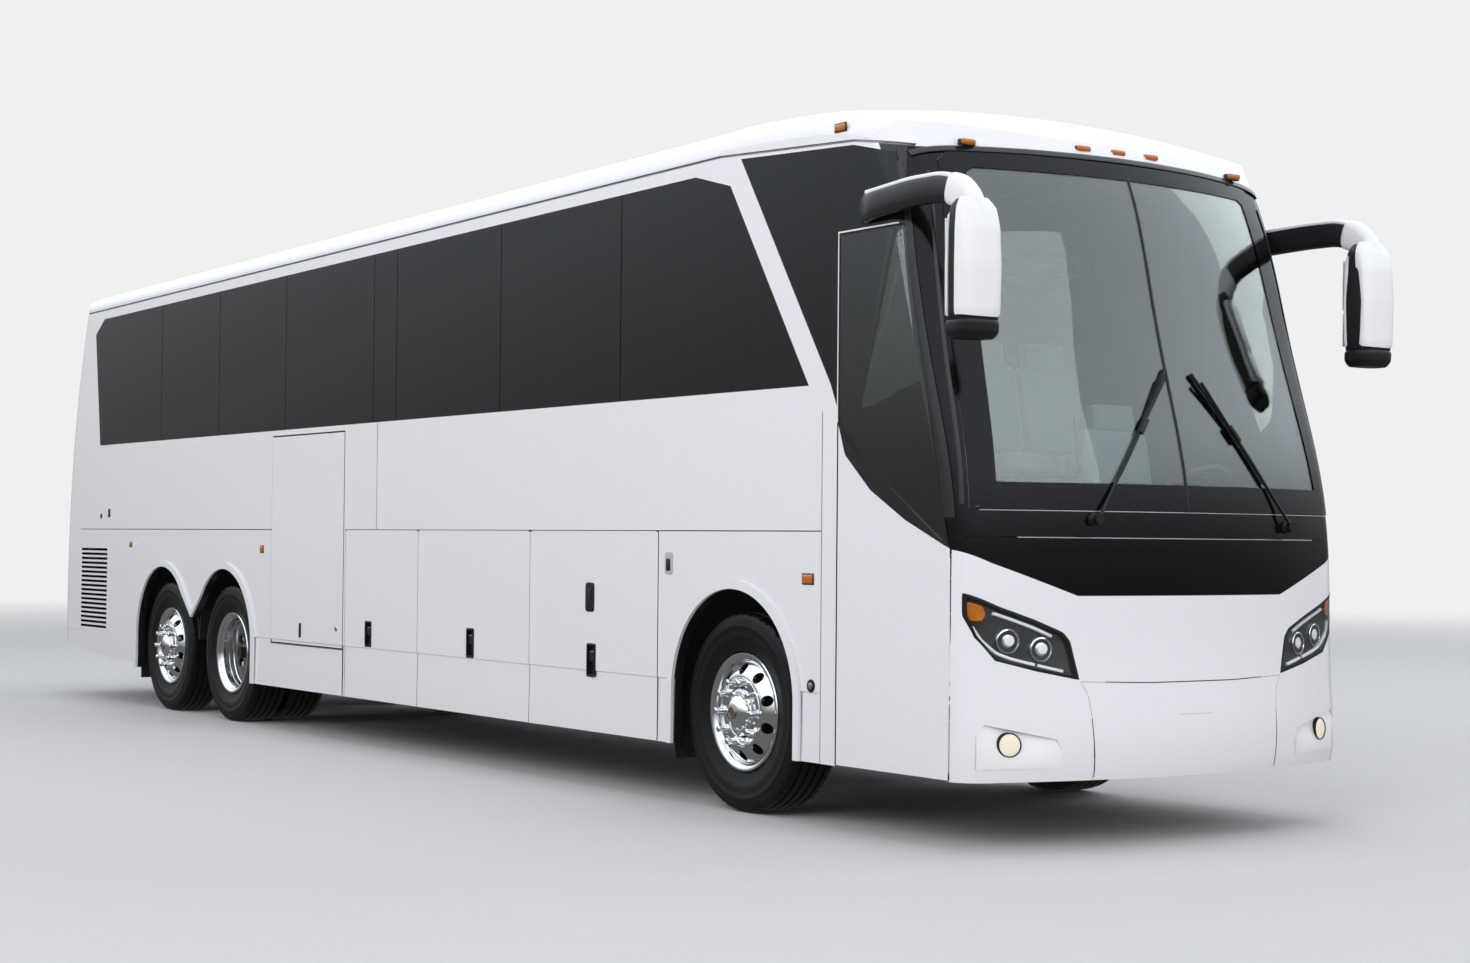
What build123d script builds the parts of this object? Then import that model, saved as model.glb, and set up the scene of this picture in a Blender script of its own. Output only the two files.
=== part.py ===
from build123d import *
from collections import namedtuple
from math import cos, radians, sin
import os

# Coach bus. Millimetres, +X towards the front, +Y to the left, +Z up, ground at Z = 0,
# and the origin under the middle of the whole vehicle.

# Whole vehicle
overall_length = 13500
front_overhang = 2200       # front axle to the foremost point of the bumper
wheelbase = 7285            # front axle to drive axle
tag_spacing = 1360          # drive axle to tag axle
half_width = 1300
front_axle_x = overall_length / 2 - front_overhang
rear_x = -overall_length / 2
tag_at = -wheelbase - tag_spacing
tail_reach = overall_length - front_overhang
far = overall_length
beyond = 100                # cutting bodies reach this far past the surface

# Levels above the ground
skirt_z = 335               # lower edge of the side skirts
crease_z = 700              # the skirts draw in below this line
moulding_z = 1530           # seam over the luggage doors
belt_z = 2290               # lower edge of the side glass
gutter_rear_z = 3500        # the roof starts here, rising towards the front
gutter_front_z = 3590
header_z = 3458             # roof edge over the windshield
platform_z = 1120           # top of the driver's floor
bay_floor_z = 400           # top of the luggage floor
engine_head_z = 1750        # top of the engine door

# Walls and seams
wall = 60                   # side walls, caps and doors
glass_t = 8
recess_t = 22               # depth of the fog lamp hollows and of the lamp housings
seam = 6                    # gap round every door
line_w = 5                  # width and depth of the lines between fixed panels
seat_gap = 0.3              # between curved pieces that seat in each other
sheet = 40                  # floors and bulkheads
floor_z = moulding_z + seam  # top of the passenger floor
barrel_r = 4                # hinge barrels that lie in the door seams

# Stations along the side, measured from the front axle
door_rear_at = 945          # entrance door
door_front_at = 1855
lift_rear_at = -6335        # lift door
lift_front_at = -5030
bay_edges_at = (-5000, -3830, -2270, -765)
rear_split_at = -10790      # side wall to rear cap
arch_line_at = 810          # front edge of the panel over the front wheel
upper_panel_at = -4490      # joint in the panel under the windows
slash_foot_at = 690         # white slanted pillar, its rear edge at the belt
slash_head_at = -170        # and at the top of the glass
slash_width = 190

# Wheels
tyre_r = 545
tyre_w = 300
rim_seat_r = 290
flange_r = 322
track_y = 1095              # middle of a single tyre
twin_y = 330                # between the middles of twin tyres
kingpin_y = 930
kingpin_r = 24
running = 0.1               # radial clearance of pins and spindles
arch_r = 592
arch_z = 625


def at(distance):
    """Station measured from the front axle."""
    return front_axle_x + distance


def block(x0, x1, y0, y1, z0, z1):
    return Pos((x0 + x1) / 2, (y0 + y1) / 2, (z0 + z1) / 2) * Box(abs(x1 - x0), abs(y1 - y0), abs(z1 - z0))


def side_prism(points, y0, y1):
    """Outline of (x, z) points carried across the vehicle from y0 to y1."""
    face = make_face(Polyline(*[(x, 0, z) for x, z in points], close=True))
    return Pos(0, min(y0, y1), 0) * extrude(face, amount=abs(y1 - y0), dir=(0, 1, 0))


def front_prism(points, x0, x1):
    """Outline of (y, z) points carried along the vehicle from x0 to x1."""
    face = make_face(Polyline(*[(0, y, z) for y, z in points], close=True))
    return Pos(min(x0, x1), 0, 0) * extrude(face, amount=abs(x1 - x0), dir=(1, 0, 0))


def rectangle(u0, u1, z0, z1):
    return [(u0, z0), (u1, z0), (u1, z1), (u0, z1)]


def mirrored_points(points):
    return [(-y, z) for y, z in points]


def rod(start, end, radius):
    """Round bar between two points."""
    path = Line(start, end)
    return sweep(Plane(origin=start, z_dir=path % 0) * Circle(radius), path=path)


def save(node, *solids):
    shape = solids[0] if len(solids) == 1 else Compound(children=[s for part in solids for s in part.solids()])
    export_step(shape, f"parts/{node}.step")


os.makedirs("parts", exist_ok=True)

# Body surface. Each row of the nose and of the tail is the plan outline at one height: how far its
# middle reaches from the front axle, how much the ends fall back, and the corner's radius.
Plan = namedtuple("Plan", "z reach bow corner")
swell = 7                   # the surface between the rows bulges this far past them
nose_rows = [
    Plan(skirt_z, 2180, 230, 160),
    Plan(600, front_overhang - swell, 232, 160),
    Plan(1220, 2160, 215, 170),
    Plan(1620, 2145, 225, 180),
    Plan(2300, 1990, 245, 200),
    Plan(3020, 1808, 265, 220),
    Plan(3450, 1655, 275, 230),
    Plan(3900, 1470, 285, 230),
]
tail_rows = [
    Plan(skirt_z, tail_reach - 30, 8, 200),
    Plan(620, tail_reach - swell, 8, 200),
    Plan(engine_head_z, tail_reach - 30, 8, 220),
    Plan(2400, tail_reach - 105, 12, 240),
    Plan(3050, tail_reach - 260, 20, 250),
    Plan(3900, tail_reach - 560, 30, 250),
]
# Each row of the roof is its section at one station: height of the crown, drop to the sides, shoulder.
Section = namedtuple("Section", "x crown drop shoulder")
roof_tail_rows = [
    Section(-tail_reach - 20, 3620, 90, 130),
    Section(-10950, 3695, 90, 130),
    Section(-10480, 3735, 90, 130),
]
roof_front_rows = [
    Section(-200, 3835, 100, 150),
    Section(300, 3834, 100, 150),
    Section(900, 3793, 100, 150),
    Section(1350, 3680, 95, 150),
    Section(1720, 3470, 90, 150),
    Section(front_overhang + 100, 3000, 90, 150),
]
nose_start = at(700)
tail_start = at(-10250)
flank = 0.5                 # the lofted ends are this much wider and are cut flush with the flat sides
least_radius = 40
foot_drop = 50              # the inner volume reaches this far below the skirts


def plan_face(row, start, sign, inset):
    y = half_width - inset + flank
    tip = front_axle_x + sign * (row.reach - inset)
    corner = tip - sign * row.bow
    outline = Wire([
        Line((start, -y), (corner, -y)),
        ThreePointArc((corner, -y), (tip, 0), (corner, y)),
        Line((corner, y), (start, y)),
        Line((start, y), (start, -y)),
    ])
    face = Sketch() + make_face(outline)
    corners = [v for v in face.vertices() if abs(v.X - corner) < 1]
    face = fillet(corners, radius=max(row.corner - inset, least_radius))
    return Pos(0, 0, row.z) * face


def roof_face(row, inset, base):
    y = half_width - inset + flank
    crown = row.crown - inset
    shoulder = crown - row.drop
    outline = Wire([
        Line((-y, base), (-y, shoulder)),
        ThreePointArc((-y, shoulder), (0, crown), (y, shoulder)),
        Line((y, shoulder), (y, base)),
        Line((y, base), (-y, base)),
    ])
    face = Sketch() + make_face(outline)
    corners = [v for v in face.vertices() if abs(v.Y - shoulder) < 1]
    face = fillet(corners, radius=max(row.shoulder - inset, least_radius))
    return Plane(origin=(at(row.x), 0, 0), x_dir=(0, 1, 0), z_dir=(1, 0, 0)) * face


def body_volume(inset):
    """Everything inside the body surface, or inside a surface that lies deeper by the inset."""
    base = skirt_z - (foot_drop if inset else 0)
    nose = loft([plan_face(row, nose_start, 1, inset) for row in nose_rows])
    tail = loft([plan_face(row, tail_start, -1, inset) for row in tail_rows])
    y = half_width - inset
    middle = block(tail_start, nose_start, -y, y, skirt_z, nose_rows[-1].z)
    hull = tail + middle + nose
    if inset:
        hull += block(tail_start, nose_start, -y, y, base, skirt_z)
    cover = Part()
    for rows in (roof_tail_rows, [roof_tail_rows[-1], roof_front_rows[0]], roof_front_rows):
        cover += loft([roof_face(row, inset, base - foot_drop) for row in rows], ruled=len(rows) == 2)
    return hull & cover & block(-far, far, -y, y, 0, far)


def cut_out(points, side, depth):
    """Outline on one side of the vehicle, reaching inwards from outside by the given depth."""
    stations = [(at(x), z) for x, z in points]
    return side_prism(stations, side * (half_width + beyond), side * (half_width - depth))


def band_across(points):
    """Outline of stations and heights carried over the whole width."""
    return side_prism([(at(x), z) for x, z in points], -half_width - beyond, half_width + beyond)


# Outlines on the side, as (distance from the front axle, height)
gutter_points = [(-tail_reach - 200, gutter_rear_z), (slash_head_at, gutter_front_z), (1060, 3515),
                 (1420, header_z), (front_overhang + 200, header_z)]


def gutter(distance):
    """Height of the roof's lower edge at a station."""
    for (x0, z0), (x1, z1) in zip(gutter_points[:-1], gutter_points[1:]):
        if distance <= x1:
            break
    return z0 + (z1 - z0) * (distance - x0) / (x1 - x0)


glass_drop = 75             # from the roof's lower edge to the side glass
slash_slope = (slash_foot_at - slash_head_at) / (gutter(slash_head_at) - belt_z)


def slash_at(z):
    """Rear edge of the slanted pillar at a height."""
    return slash_foot_at + (belt_z - z) * slash_slope


band_top_z = gutter(slash_head_at) - glass_drop
band = [
    (-10290, belt_z), (-10450, gutter(-10450) - 200), (-10220, gutter(-10220) - glass_drop),
    (slash_head_at - 240, band_top_z), (slash_at(band_top_z - 90), band_top_z - 90), (slash_foot_at, belt_z),
]
pane_edges_at = (-8750, -7450, -6112, -4565, -4200, -2690, -1207)
door_top_z = 3060
door_knee_z = 1448          # the door's front edge leans back above this
door_head_at = 1490         # front edge of the entrance door at its top
lean = (door_front_at - door_head_at) / (door_top_z - door_knee_z)


def pillar_at(z):
    """Edge between the side and the front, which leans back with the windshield."""
    return door_front_at - max(z - door_knee_z, 0) * lean


glass_gap = 14              # from the front panes to the roof and the pillar
pane_foot_z = 2170
pane_rear_at = door_rear_at - 8
pane_sill_z = door_top_z + 8
upper_pane = [
    (pillar_at(3270) - glass_gap, 3270), (pillar_at(3430) - 45, 3430), (1060, gutter(1060) - glass_gap),
    (slash_at(3560) + slash_width, 3560),
]
front_pane = [
    (slash_foot_at + slash_width, belt_z), (pane_rear_at, pane_foot_z), (pane_rear_at, pane_sill_z),
    (pillar_at(door_top_z) - glass_gap, pane_sill_z),
] + upper_pane
curve = [(door_rear_at, 2090), (1010, 1920), (1222, 1739), (1507, 1588), (door_front_at, door_knee_z)]
curve_end = (door_front_at - glass_gap, door_knee_z + glass_gap)
driver_pane = front_pane[:1] + curve[:-1] + [curve_end, (pillar_at(belt_z) - glass_gap, belt_z)] + upper_pane
side_outlines = {-1: front_pane, 1: driver_pane}
door_outline = [
    (door_rear_at, skirt_z), (door_front_at, skirt_z), (door_front_at, door_knee_z), (door_head_at, door_top_z),
    (door_rear_at, door_top_z),
]
door_sight = [(1060, 1935), (1265, 1795), (1700, 1795), (1500, 3000), (1060, 2960)]
lift_foot_z = 670
lift_head_z = 2245
lift_outline = rectangle(lift_rear_at, lift_front_at, lift_foot_z, lift_head_z)
grille_outline = rectangle(-10770, -10030, 620, 1395)   # engine air intake behind the tag wheel
# The skirt rises behind the tag wheel, so that the overhang clears a ramp
departure = [(-9240, 0), (-9240, skirt_z + 40), (-9890, skirt_z + 45), (-10750, 457), (-tail_reach - 200, 520),
             (-tail_reach - 200, 0)]

# Lines between fixed panels. Columns: rear and front end, foot and head.
PanelLine = namedtuple("PanelLine", "rear front foot head")
panel_lines = [
    PanelLine(rear_split_at - line_w, lift_rear_at, moulding_z, moulding_z + line_w),
    PanelLine(bay_edges_at[0], arch_line_at + line_w, moulding_z, moulding_z + line_w),
    PanelLine(upper_panel_at, upper_panel_at + line_w, moulding_z, belt_z),
    PanelLine(arch_line_at, arch_line_at + line_w, skirt_z - line_w, 2150),
]

inside_y = half_width - wall - seam
front_floor_at = 860        # the passenger floor ends here, ahead are the steps and the driver
tail_floor_at = 240 - tail_reach
hinge_y = half_width - barrel_r / 2
hinge_z = moulding_z - seam / 2
depth = wall + 20
through = 400               # cuts that pass the corner's curve as well

outer = body_volume(0)
inner = body_volume(wall)
shell = outer - inner
skin = outer - body_volume(glass_t)
behind_lens = body_volume(glass_t + 4)
recess = outer - body_volume(recess_t)
roof_cut = [(gutter_points[0][0], 0)] + gutter_points + [(gutter_points[-1][0], 0)]
below_gutter = band_across(roof_cut)
walls = (shell & below_gutter) - band_across(departure)
nose_zone = band_across([
    (door_front_at, 0), (door_front_at, door_knee_z), (pillar_at(3700), 3700), (front_overhang + 300, 3700),
    (front_overhang + 300, 0)])


def arch(centre_at, radius, inwards, side):
    """Wheel arch: a round head over straight sides, cut inwards from outside."""
    y0 = side * (half_width + beyond)
    y1 = side * (half_width - inwards)
    centre = at(centre_at)
    drum = Pos(centre, (y0 + y1) / 2, arch_z) * Rot(90, 0, 0) * Cylinder(radius, abs(y1 - y0))
    return drum + block(centre - radius, centre + radius, y0, y1, 0, arch_z)


def rear_arch(radius, inwards, side):
    """Both rear arches, which meet in a point between the wheels."""
    point_z = arch_z + 185
    lean_out = radians(50)
    out = radius * sin(lean_out)
    up = radius * cos(lean_out)
    bridge = [
        (tag_at, 0), (tag_at, arch_z), (tag_at + out, arch_z + up), (tag_at + tag_spacing / 2, point_z + radius - arch_r),
        (-wheelbase - out, arch_z + up), (-wheelbase, arch_z), (-wheelbase, 0),
    ]
    drums = arch(tag_at, radius, inwards, side) + arch(-wheelbase, radius, inwards, side)
    return drums + cut_out(bridge, side, inwards)


def window_openings(side):
    """Openings behind the glass, with pillars between them."""
    pillar = 45
    edge = 60
    foot = belt_z + edge
    openings = []
    stops = (-10230,) + pane_edges_at
    for x0, x1 in zip(stops[:-1], stops[1:]):
        if x1 - x0 > 500:
            openings.append(rectangle(x0 + pillar, x1 - pillar, foot, gutter(x0) - glass_drop - edge))
    rear = pane_edges_at[-1] + pillar
    top = gutter(rear) - glass_drop - edge
    openings.append([(rear, foot), (slash_at(foot) - 70, foot), (slash_at(top) - 90, top), (rear, top)])
    ahead = slash_width + 70
    quarter_z = 2450
    openings.append([(slash_at(quarter_z) + ahead, quarter_z), (880, quarter_z), (880, 3400),
                     (slash_at(3400) + ahead, 3400)])
    if side > 0:
        openings.append([(1000, 2100), (1240, 1900), (1640, 1900), (1390, 3330), (1000, 3380)])
    return openings


def seam_rod(start, end, gap=0.0):
    """Hinge barrel in a door seam, or the groove that it lies in."""
    return rod(start, end, barrel_r + gap)


lift_hinge = [(at(lift_rear_at) + seam / 2, -hinge_y, z) for z in (lift_foot_z + seam, lift_head_z - seam)]
door_hinge = [(at(door_front_at) - seam / 2, -hinge_y, z) for z in (skirt_z + 40, door_knee_z - 40)]


def bay_hinge(rear, front, side):
    return [(x, side * hinge_y, hinge_z) for x in (at(rear), at(front))]


def drawn_line(row, side):
    return block(at(row.rear), at(row.front), side * (half_width - line_w), side * (half_width + beyond), row.foot,
                 row.head)


def skirt_bevel(side):
    """Wedge taken off the skirt below the crease."""
    y = side * half_width
    deep = side * 8
    shallow = side * 3
    points = [(y + side, crease_z + 1), (y - deep, crease_z - 8), (y - shallow, skirt_z - 1), (y + side, skirt_z - 1)]
    return front_prism(points, at(-wheelbase), at(arch_line_at))


def side_wall(side):
    """Wall over the moulding, and down to the skirt ahead of the panel over the front wheel."""
    y0 = side * 900
    y1 = side * (half_width + beyond)
    part = (walls - nose_zone) & block(at(rear_split_at), at(front_overhang), y0, y1, 0, far)
    part -= block(at(rear_split_at) - beyond, at(arch_line_at), y0, y1, 0, moulding_z)
    ledge_y = (side * (half_width - wall), side * (half_width - wall - sheet))
    part += block(at(tail_floor_at), at(front_floor_at), *ledge_y, floor_z, floor_z + wall)
    for outline in [band, side_outlines[side]]:
        part -= skin & cut_out(outline, side, depth)
    for outline in window_openings(side):
        part -= cut_out(outline, side, depth)
    for row in panel_lines:
        part -= drawn_line(row, side)
    if side < 0:
        part -= cut_out(door_outline, side, through)
        part -= cut_out(lift_outline, side, depth + sheet)
        part -= seam_rod(*lift_hinge, seat_gap)
    return part


lip = 18                    # how far the arch lips stand proud
lip_w = 50


def arch_panels(side):
    """Panels under the moulding: over the rear wheels with the air intake, and over the front wheel."""
    zones = (rectangle(rear_split_at, bay_edges_at[0], 0, moulding_z),
             rectangle(bay_edges_at[-1], arch_line_at, 0, moulding_z))
    panels = Part()
    for zone in zones:
        panels += walls & cut_out(zone, side, depth)
    panels -= skirt_bevel(side)
    front_room = arch(0, arch_r, depth, side)
    rear_room = rear_arch(arch_r, depth, side)
    proud = block(-far, far, side * half_width, side * (half_width + lip), skirt_z, far)
    rings = (arch(0, arch_r + lip_w, depth, side) - front_room) + (rear_arch(arch_r + lip_w, depth, side) - rear_room)
    panels += rings & proud
    panels -= front_room + rear_room + cut_out(grille_outline, side, depth)
    if side < 0:
        panels -= cut_out(lift_outline, side, depth + sheet)
        panels -= seam_rod(*lift_hinge, seat_gap)
    return panels


groove = (recess & band_across(gutter_points[:-1] + [(x, z + 14) for x, z in reversed(gutter_points[:-1])]))
save("roof", shell - below_gutter - groove)
for node, side in (("right", -1), ("left", 1)):
    save(f"side_wall_{node}", side_wall(side))
    save(f"arch_panels_{node}", *arch_panels(side).solids())


def panes(side):
    """Flush glass: the long band cut into panes by thin joints, and the pane ahead of the slanted pillar."""
    joint = 4
    glass = skin & cut_out(band, side, sheet)
    front = (skin & cut_out(side_outlines[side], side, sheet)) - nose_zone
    for edge in pane_edges_at:
        glass -= cut_out(rectangle(edge - joint, edge + joint, 0, far), side, depth)
    slider_at = 1044
    front -= cut_out(rectangle(slider_at - joint, slider_at + joint, 0, pane_sill_z if side < 0 else far), side, depth)
    return glass.solids() + front.solids()


save("side_glass", *panes(-1), *panes(1))

# Front: white cap with the lamps, black frame round the windshield, and the middle of the bumper.
# Outlines seen from ahead, as (distance from the middle, height)
mask_line = [(-1400, 1465), (-1300, 1448), (-1160, 1386), (-700, 1226), (700, 1226), (1160, 1386), (1300, 1448),
             (1400, 1465)]
lamp_outline = [(-1272, 1240), (-1272, 1130), (-1232, 1026), (-1136, 916), (-919, 862), (-695, 820), (-742, 1007),
                (-780, 1050), (-931, 1111), (-1112, 1173)]
bumper_outline = [(-690, 812), (-652, 748), (-636, 637), (-620, 0), (620, 0), (636, 637), (652, 748), (690, 812),
                  (300, 800), (-300, 800)]
windshield_outline = [(-1240, 1645), (1240, 1645), (1195, 2585), (1100, 3390), (1040, header_z - 12),
                      (-1040, header_z - 12), (-1100, 3390), (-1195, 2585)]
sight_outline = [(-1120, 1780), (1120, 1780), (1060, 2585), (980, 3370), (-980, 3370), (-1060, 2585)]
fog_hollow = [(-1236, 400), (-1236, 560), (-1199, 613), (-832, 537), (-800, 470), (-815, 400)]
mask_groove_z = 1508        # thin bright line across the black mask
fog_y = 1075
fog_z = 515
fog_r = 55
# Projectors of a headlamp. Columns: station of the front end, distance from the middle, height, radius.
Projector = namedtuple("Projector", "x y z radius")
projectors = [Projector(2040, 1062, 1008, 50), Projector(2080, 890, 968, 50)]


def nose_prism(points):
    return front_prism(points, at(door_front_at) - 500, at(front_overhang) + beyond)


nose = walls & nose_zone
lower_zone = nose_prism([(-1400, 0)] + mask_line + [(1400, 0)])
white = nose & lower_zone
lamp_zone = nose_prism(lamp_outline) + nose_prism(mirrored_points(lamp_outline))
fog_zone = Part()
barrels = Part()
for side in (-1, 1):
    fog_zone += Pos(at(2050), side * fog_y, fog_z) * Rot(0, 90, 0) * Cylinder(fog_r, 400)
    for row in projectors:
        barrels += rod((at(row.x - 130), side * row.y, row.z), (at(row.x), side * row.y, row.z), row.radius)
bumper_zone = nose_prism(bumper_outline)
hollows = recess & (nose_prism(fog_hollow) + nose_prism(mirrored_points(fog_hollow)))
front_cap = white - lamp_zone - fog_zone - bumper_zone - hollows
front_cap -= seam_rod(*door_hinge, seat_gap)
save("front_cap", front_cap)
seam_cut = offset(bumper_zone.solids()[0], amount=-2, kind=Kind.INTERSECTION)
save("front_bumper", white & seam_cut)
save("headlamps", *(skin & white & lamp_zone).solids())
lamp_backs = (white & lamp_zone) - recess
save("lamp_units", *(lamp_backs + (barrels & behind_lens & lamp_zone)).solids())
save("fog_lamps", *((white & fog_zone) - (outer - behind_lens)).solids())
black = nose - lower_zone
glass_zone = nose_prism(windshield_outline)
mask_groove = block(at(door_front_at) + wall, far, -half_width, half_width, mask_groove_z, mask_groove_z + line_w)
front_frame = black - (skin & (glass_zone + mask_groove)) - nose_prism(sight_outline)
save("front_frame", front_frame)
windshield = (skin & glass_zone & nose_zone & below_gutter) - lower_zone - block(0, far, -2, 2, 0, far)
save("windshield", *windshield.solids())


def leaf(points, side):
    """Piece of the wall inside an outline on one side."""
    return shell & cut_out(points, side, through)


def drawn_in(points, gap):
    """The same outline with every edge moved inwards by a gap."""
    face = make_face(Polyline(*[(x, z, 0) for x, z in points], close=True))
    face = offset(face, amount=-gap, kind=Kind.INTERSECTION)
    return [((edge @ 0).X, (edge @ 0).Y) for edge in face.faces()[0].outer_wire().order_edges()]


# Entrance door: one leaf hinged at its front edge, its glass reaching down to the curve
door_body = leaf(drawn_in(door_outline, seam), -1)
door_glass_zone = cut_out(curve + [(door_front_at, far), (door_rear_at, far)], -1, through)
door_glass = (skin & door_body) & door_glass_zone
entrance_door = door_body - door_glass - cut_out(door_sight, -1, through + beyond) + seam_rod(*door_hinge)
save("entrance_door", entrance_door)
save("entrance_door_glass", door_glass)
lift_door = leaf(drawn_in(lift_outline, seam), -1) - skirt_bevel(-1)
save("lift_door", lift_door + seam_rod(*lift_hinge))

# Luggage doors, each with a hollow for its handle
Handle = namedtuple("Handle", "x z width height")
handles = [Handle(-4600, 797, 100, 175), Handle(-3057, 797, 100, 185), Handle(-1508, 759, 100, 190)]
hollow_t = 25
for node, side in (("right", -1), ("left", 1)):
    for index, handle in enumerate(handles):
        x0 = bay_edges_at[index] + (seam if index == 0 else seam / 2)
        x1 = bay_edges_at[index + 1] - (seam if index == 2 else seam / 2)
        flap = leaf(rectangle(x0, x1, 0, moulding_z - seam), side) - skirt_bevel(side)
        flap += seam_rod(*bay_hinge(x0 + 3 * seam, x1 - 3 * seam, side))
        hollow = rectangle(handle.x - handle.width / 2, handle.x + handle.width / 2, handle.z - handle.height / 2,
                           handle.z + handle.height / 2)
        save(f"bay_door_{node}_{index + 1}", flap - cut_out(hollow, side, hollow_t))

# Air intake panels behind the tag wheels: a pattern of slanted slots through the panel
slots = 18
slot_pitch = 41
slot_h = 22
slot_rise = 16


def slanted_slot(out, into, z):
    """Section of a slot that rises from the outside inwards."""
    return [(out, z), (out, z + slot_h), (into, z + slot_h + slot_rise), (into, z + slot_rise)]


grilles = []
for side in (-1, 1):
    grille = leaf(drawn_in(grille_outline, seat_gap), side)
    for index in range(slots):
        section = slanted_slot(side * (half_width + 5), side * (half_width - depth), 640 + index * slot_pitch)
        grille -= front_prism(section, at(-10745), at(-10055))
    grilles.append(grille)
save("side_grilles", *grilles)

# Rear cap with the opening of the engine door
engine_half_w = 820
engine_foot_z = 640
engine_seat = rear_x + 31   # hinge line close under the outer surface
tail_zone = block(-far, at(rear_split_at), -half_width - beyond, half_width + beyond, 0, far)
lamp_y = (1020, 1180)
tail_lamps_z = ((1330, 1460), (1480, 1610), (1630, 1760))


def tail_prism(points):
    return front_prism(points, rear_x - beyond, rear_x + 700)


def engine_outline(gap):
    return rectangle(gap - engine_half_w, engine_half_w - gap, engine_foot_z + gap, engine_head_z - gap)


rear_wall = walls & tail_zone
lamps_behind = Part()
for z0, z1 in tail_lamps_z:
    chamber = rectangle(*lamp_y, z0, z1)
    lamps_behind += tail_prism(chamber) + tail_prism(mirrored_points(chamber))
engine_hinge = [(engine_seat, y, engine_head_z - seam / 2) for y in (40 - engine_half_w, engine_half_w - 40)]
rear_cap = rear_wall - lamps_behind - tail_prism(engine_outline(0)) - seam_rod(*engine_hinge, seat_gap)
rear_cap -= skin & block(-far, 0, -half_width - beyond, half_width + beyond, 605, 605 + line_w)
save("rear_cap", rear_cap)
save("tail_lamps", *(rear_wall & lamps_behind).solids())
engine_door = rear_wall & tail_prism(engine_outline(seam))
louvres = 14
louvre_pitch = 44
for index in range(louvres):
    section = slanted_slot(rear_x - beyond, rear_x + 2 * depth, 760 + index * louvre_pitch)
    for y0, y1 in ((-700, -60), (60, 700)):
        engine_door -= side_prism(section, y0, y1)
save("engine_door", engine_door + seam_rod(*engine_hinge))

# Luggage floor with its bulkheads
lift_bay_at = lift_rear_at - 60
bulkhead_t = 30
bay_x = (at(lift_bay_at) - bulkhead_t / 2, at(bay_edges_at[-1]) + bulkhead_t / 2)
bays = block(*bay_x, -inside_y, inside_y, bay_floor_z - sheet, bay_floor_z)
for edge in (lift_bay_at,) + bay_edges_at:
    bays += block(at(edge) - bulkhead_t / 2, at(edge) + bulkhead_t / 2, -inside_y, inside_y, bay_floor_z - sheet,
                  floor_z - sheet)
save("underbody", bays)

# Frame rails, wheel housings, mudflaps and the front towing eye
housing_r = 665
housing_t = 15
housing_y = 430             # inner side of the wheel housings
housing_foot_z = 660
flap_foot_z = 240
rail_y = (340, housing_y)
rail_z = (740, 880)
rail_front_at = 1900
cross_members_at = (700, 1750, -7960, -9400, -11050)
member_w = 60
jack_pad_at = -6550
jack_pad = (120, 80, 40)
tow_at = 1990               # front towing pin
tow_r = 20.5
tow_z = 430
tow_t = 60
tow_half_w = 60
plate_at = tow_at - 130


def housing(centre_at, side):
    """Half drum over a wheel with a closed inner side."""
    y0 = side * housing_y
    y1 = side * (half_width - wall)
    width = abs(y1 - y0)
    centre = at(centre_at)
    reach = housing_r + housing_t
    drum = Pos(centre, (y0 + y1) / 2, arch_z) * Rot(90, 0, 0) * Cylinder(reach, width)
    return (drum & block(centre - reach, centre + reach, y0, y1, arch_z, arch_z + reach)) + block(
        centre - reach, centre + reach, y0, y1, housing_foot_z, arch_z)


def housing_room(centre_at, side):
    y0 = side * (housing_y + housing_t)
    y1 = side * (half_width + 50)
    centre = at(centre_at)
    drum = Pos(centre, (y0 + y1) / 2, arch_z) * Rot(90, 0, 0) * Cylinder(housing_r, abs(y1 - y0))
    return drum + block(centre - housing_r, centre + housing_r, y0, y1, 0, arch_z)


def frame_rails():
    frame = Part()
    for side in (-1, 1):
        y0 = side * rail_y[0]
        y1 = side * rail_y[1]
        for centre_at in (0, -wheelbase, tag_at):
            frame += housing(centre_at, side)
        for centre_at in (0, -wheelbase, tag_at):
            frame -= housing_room(centre_at, side)
        for centre_at in (0, tag_at):
            flap_x = at(centre_at) - housing_r - housing_t
            frame += block(flap_x, flap_x + housing_t, side * 950, side * (half_width - wall - 5), flap_foot_z,
                           arch_z + 60)
        frame += block(bay_x[1], at(rail_front_at), y0, y1, *rail_z)
        frame += block(rear_x + 180, bay_x[0], y0, y1, *rail_z)
        frame += block(at(rail_front_at), at(front_overhang), y0, y1, rail_z[0], rail_z[0] + 50) & inner
        pad_y = side * (rail_y[0] + rail_y[1]) / 2
        frame += Pos(at(jack_pad_at), pad_y, rail_z[0] - jack_pad[2] / 2) * Box(*jack_pad)
    for x in cross_members_at:
        frame += block(at(x), at(x) + member_w, -rail_y[1], rail_y[1], *rail_z)
    plate_x = (at(plate_at), at(plate_at) + 30)
    frame += block(*plate_x, -tow_half_w, tow_half_w, tow_z - tow_t / 2, rail_z[1])
    frame += block(plate_x[0], at(tow_at) + 50, -tow_half_w, tow_half_w, tow_z - tow_t / 2, tow_z + tow_t / 2)
    frame -= Pos(at(tow_at), 0, tow_z) * Cylinder(tow_r, 2 * tow_t)
    return frame + block(*plate_x, -rail_y[1], rail_y[1], *rail_z)


save("frame_rails", *frame_rails().solids())

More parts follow.
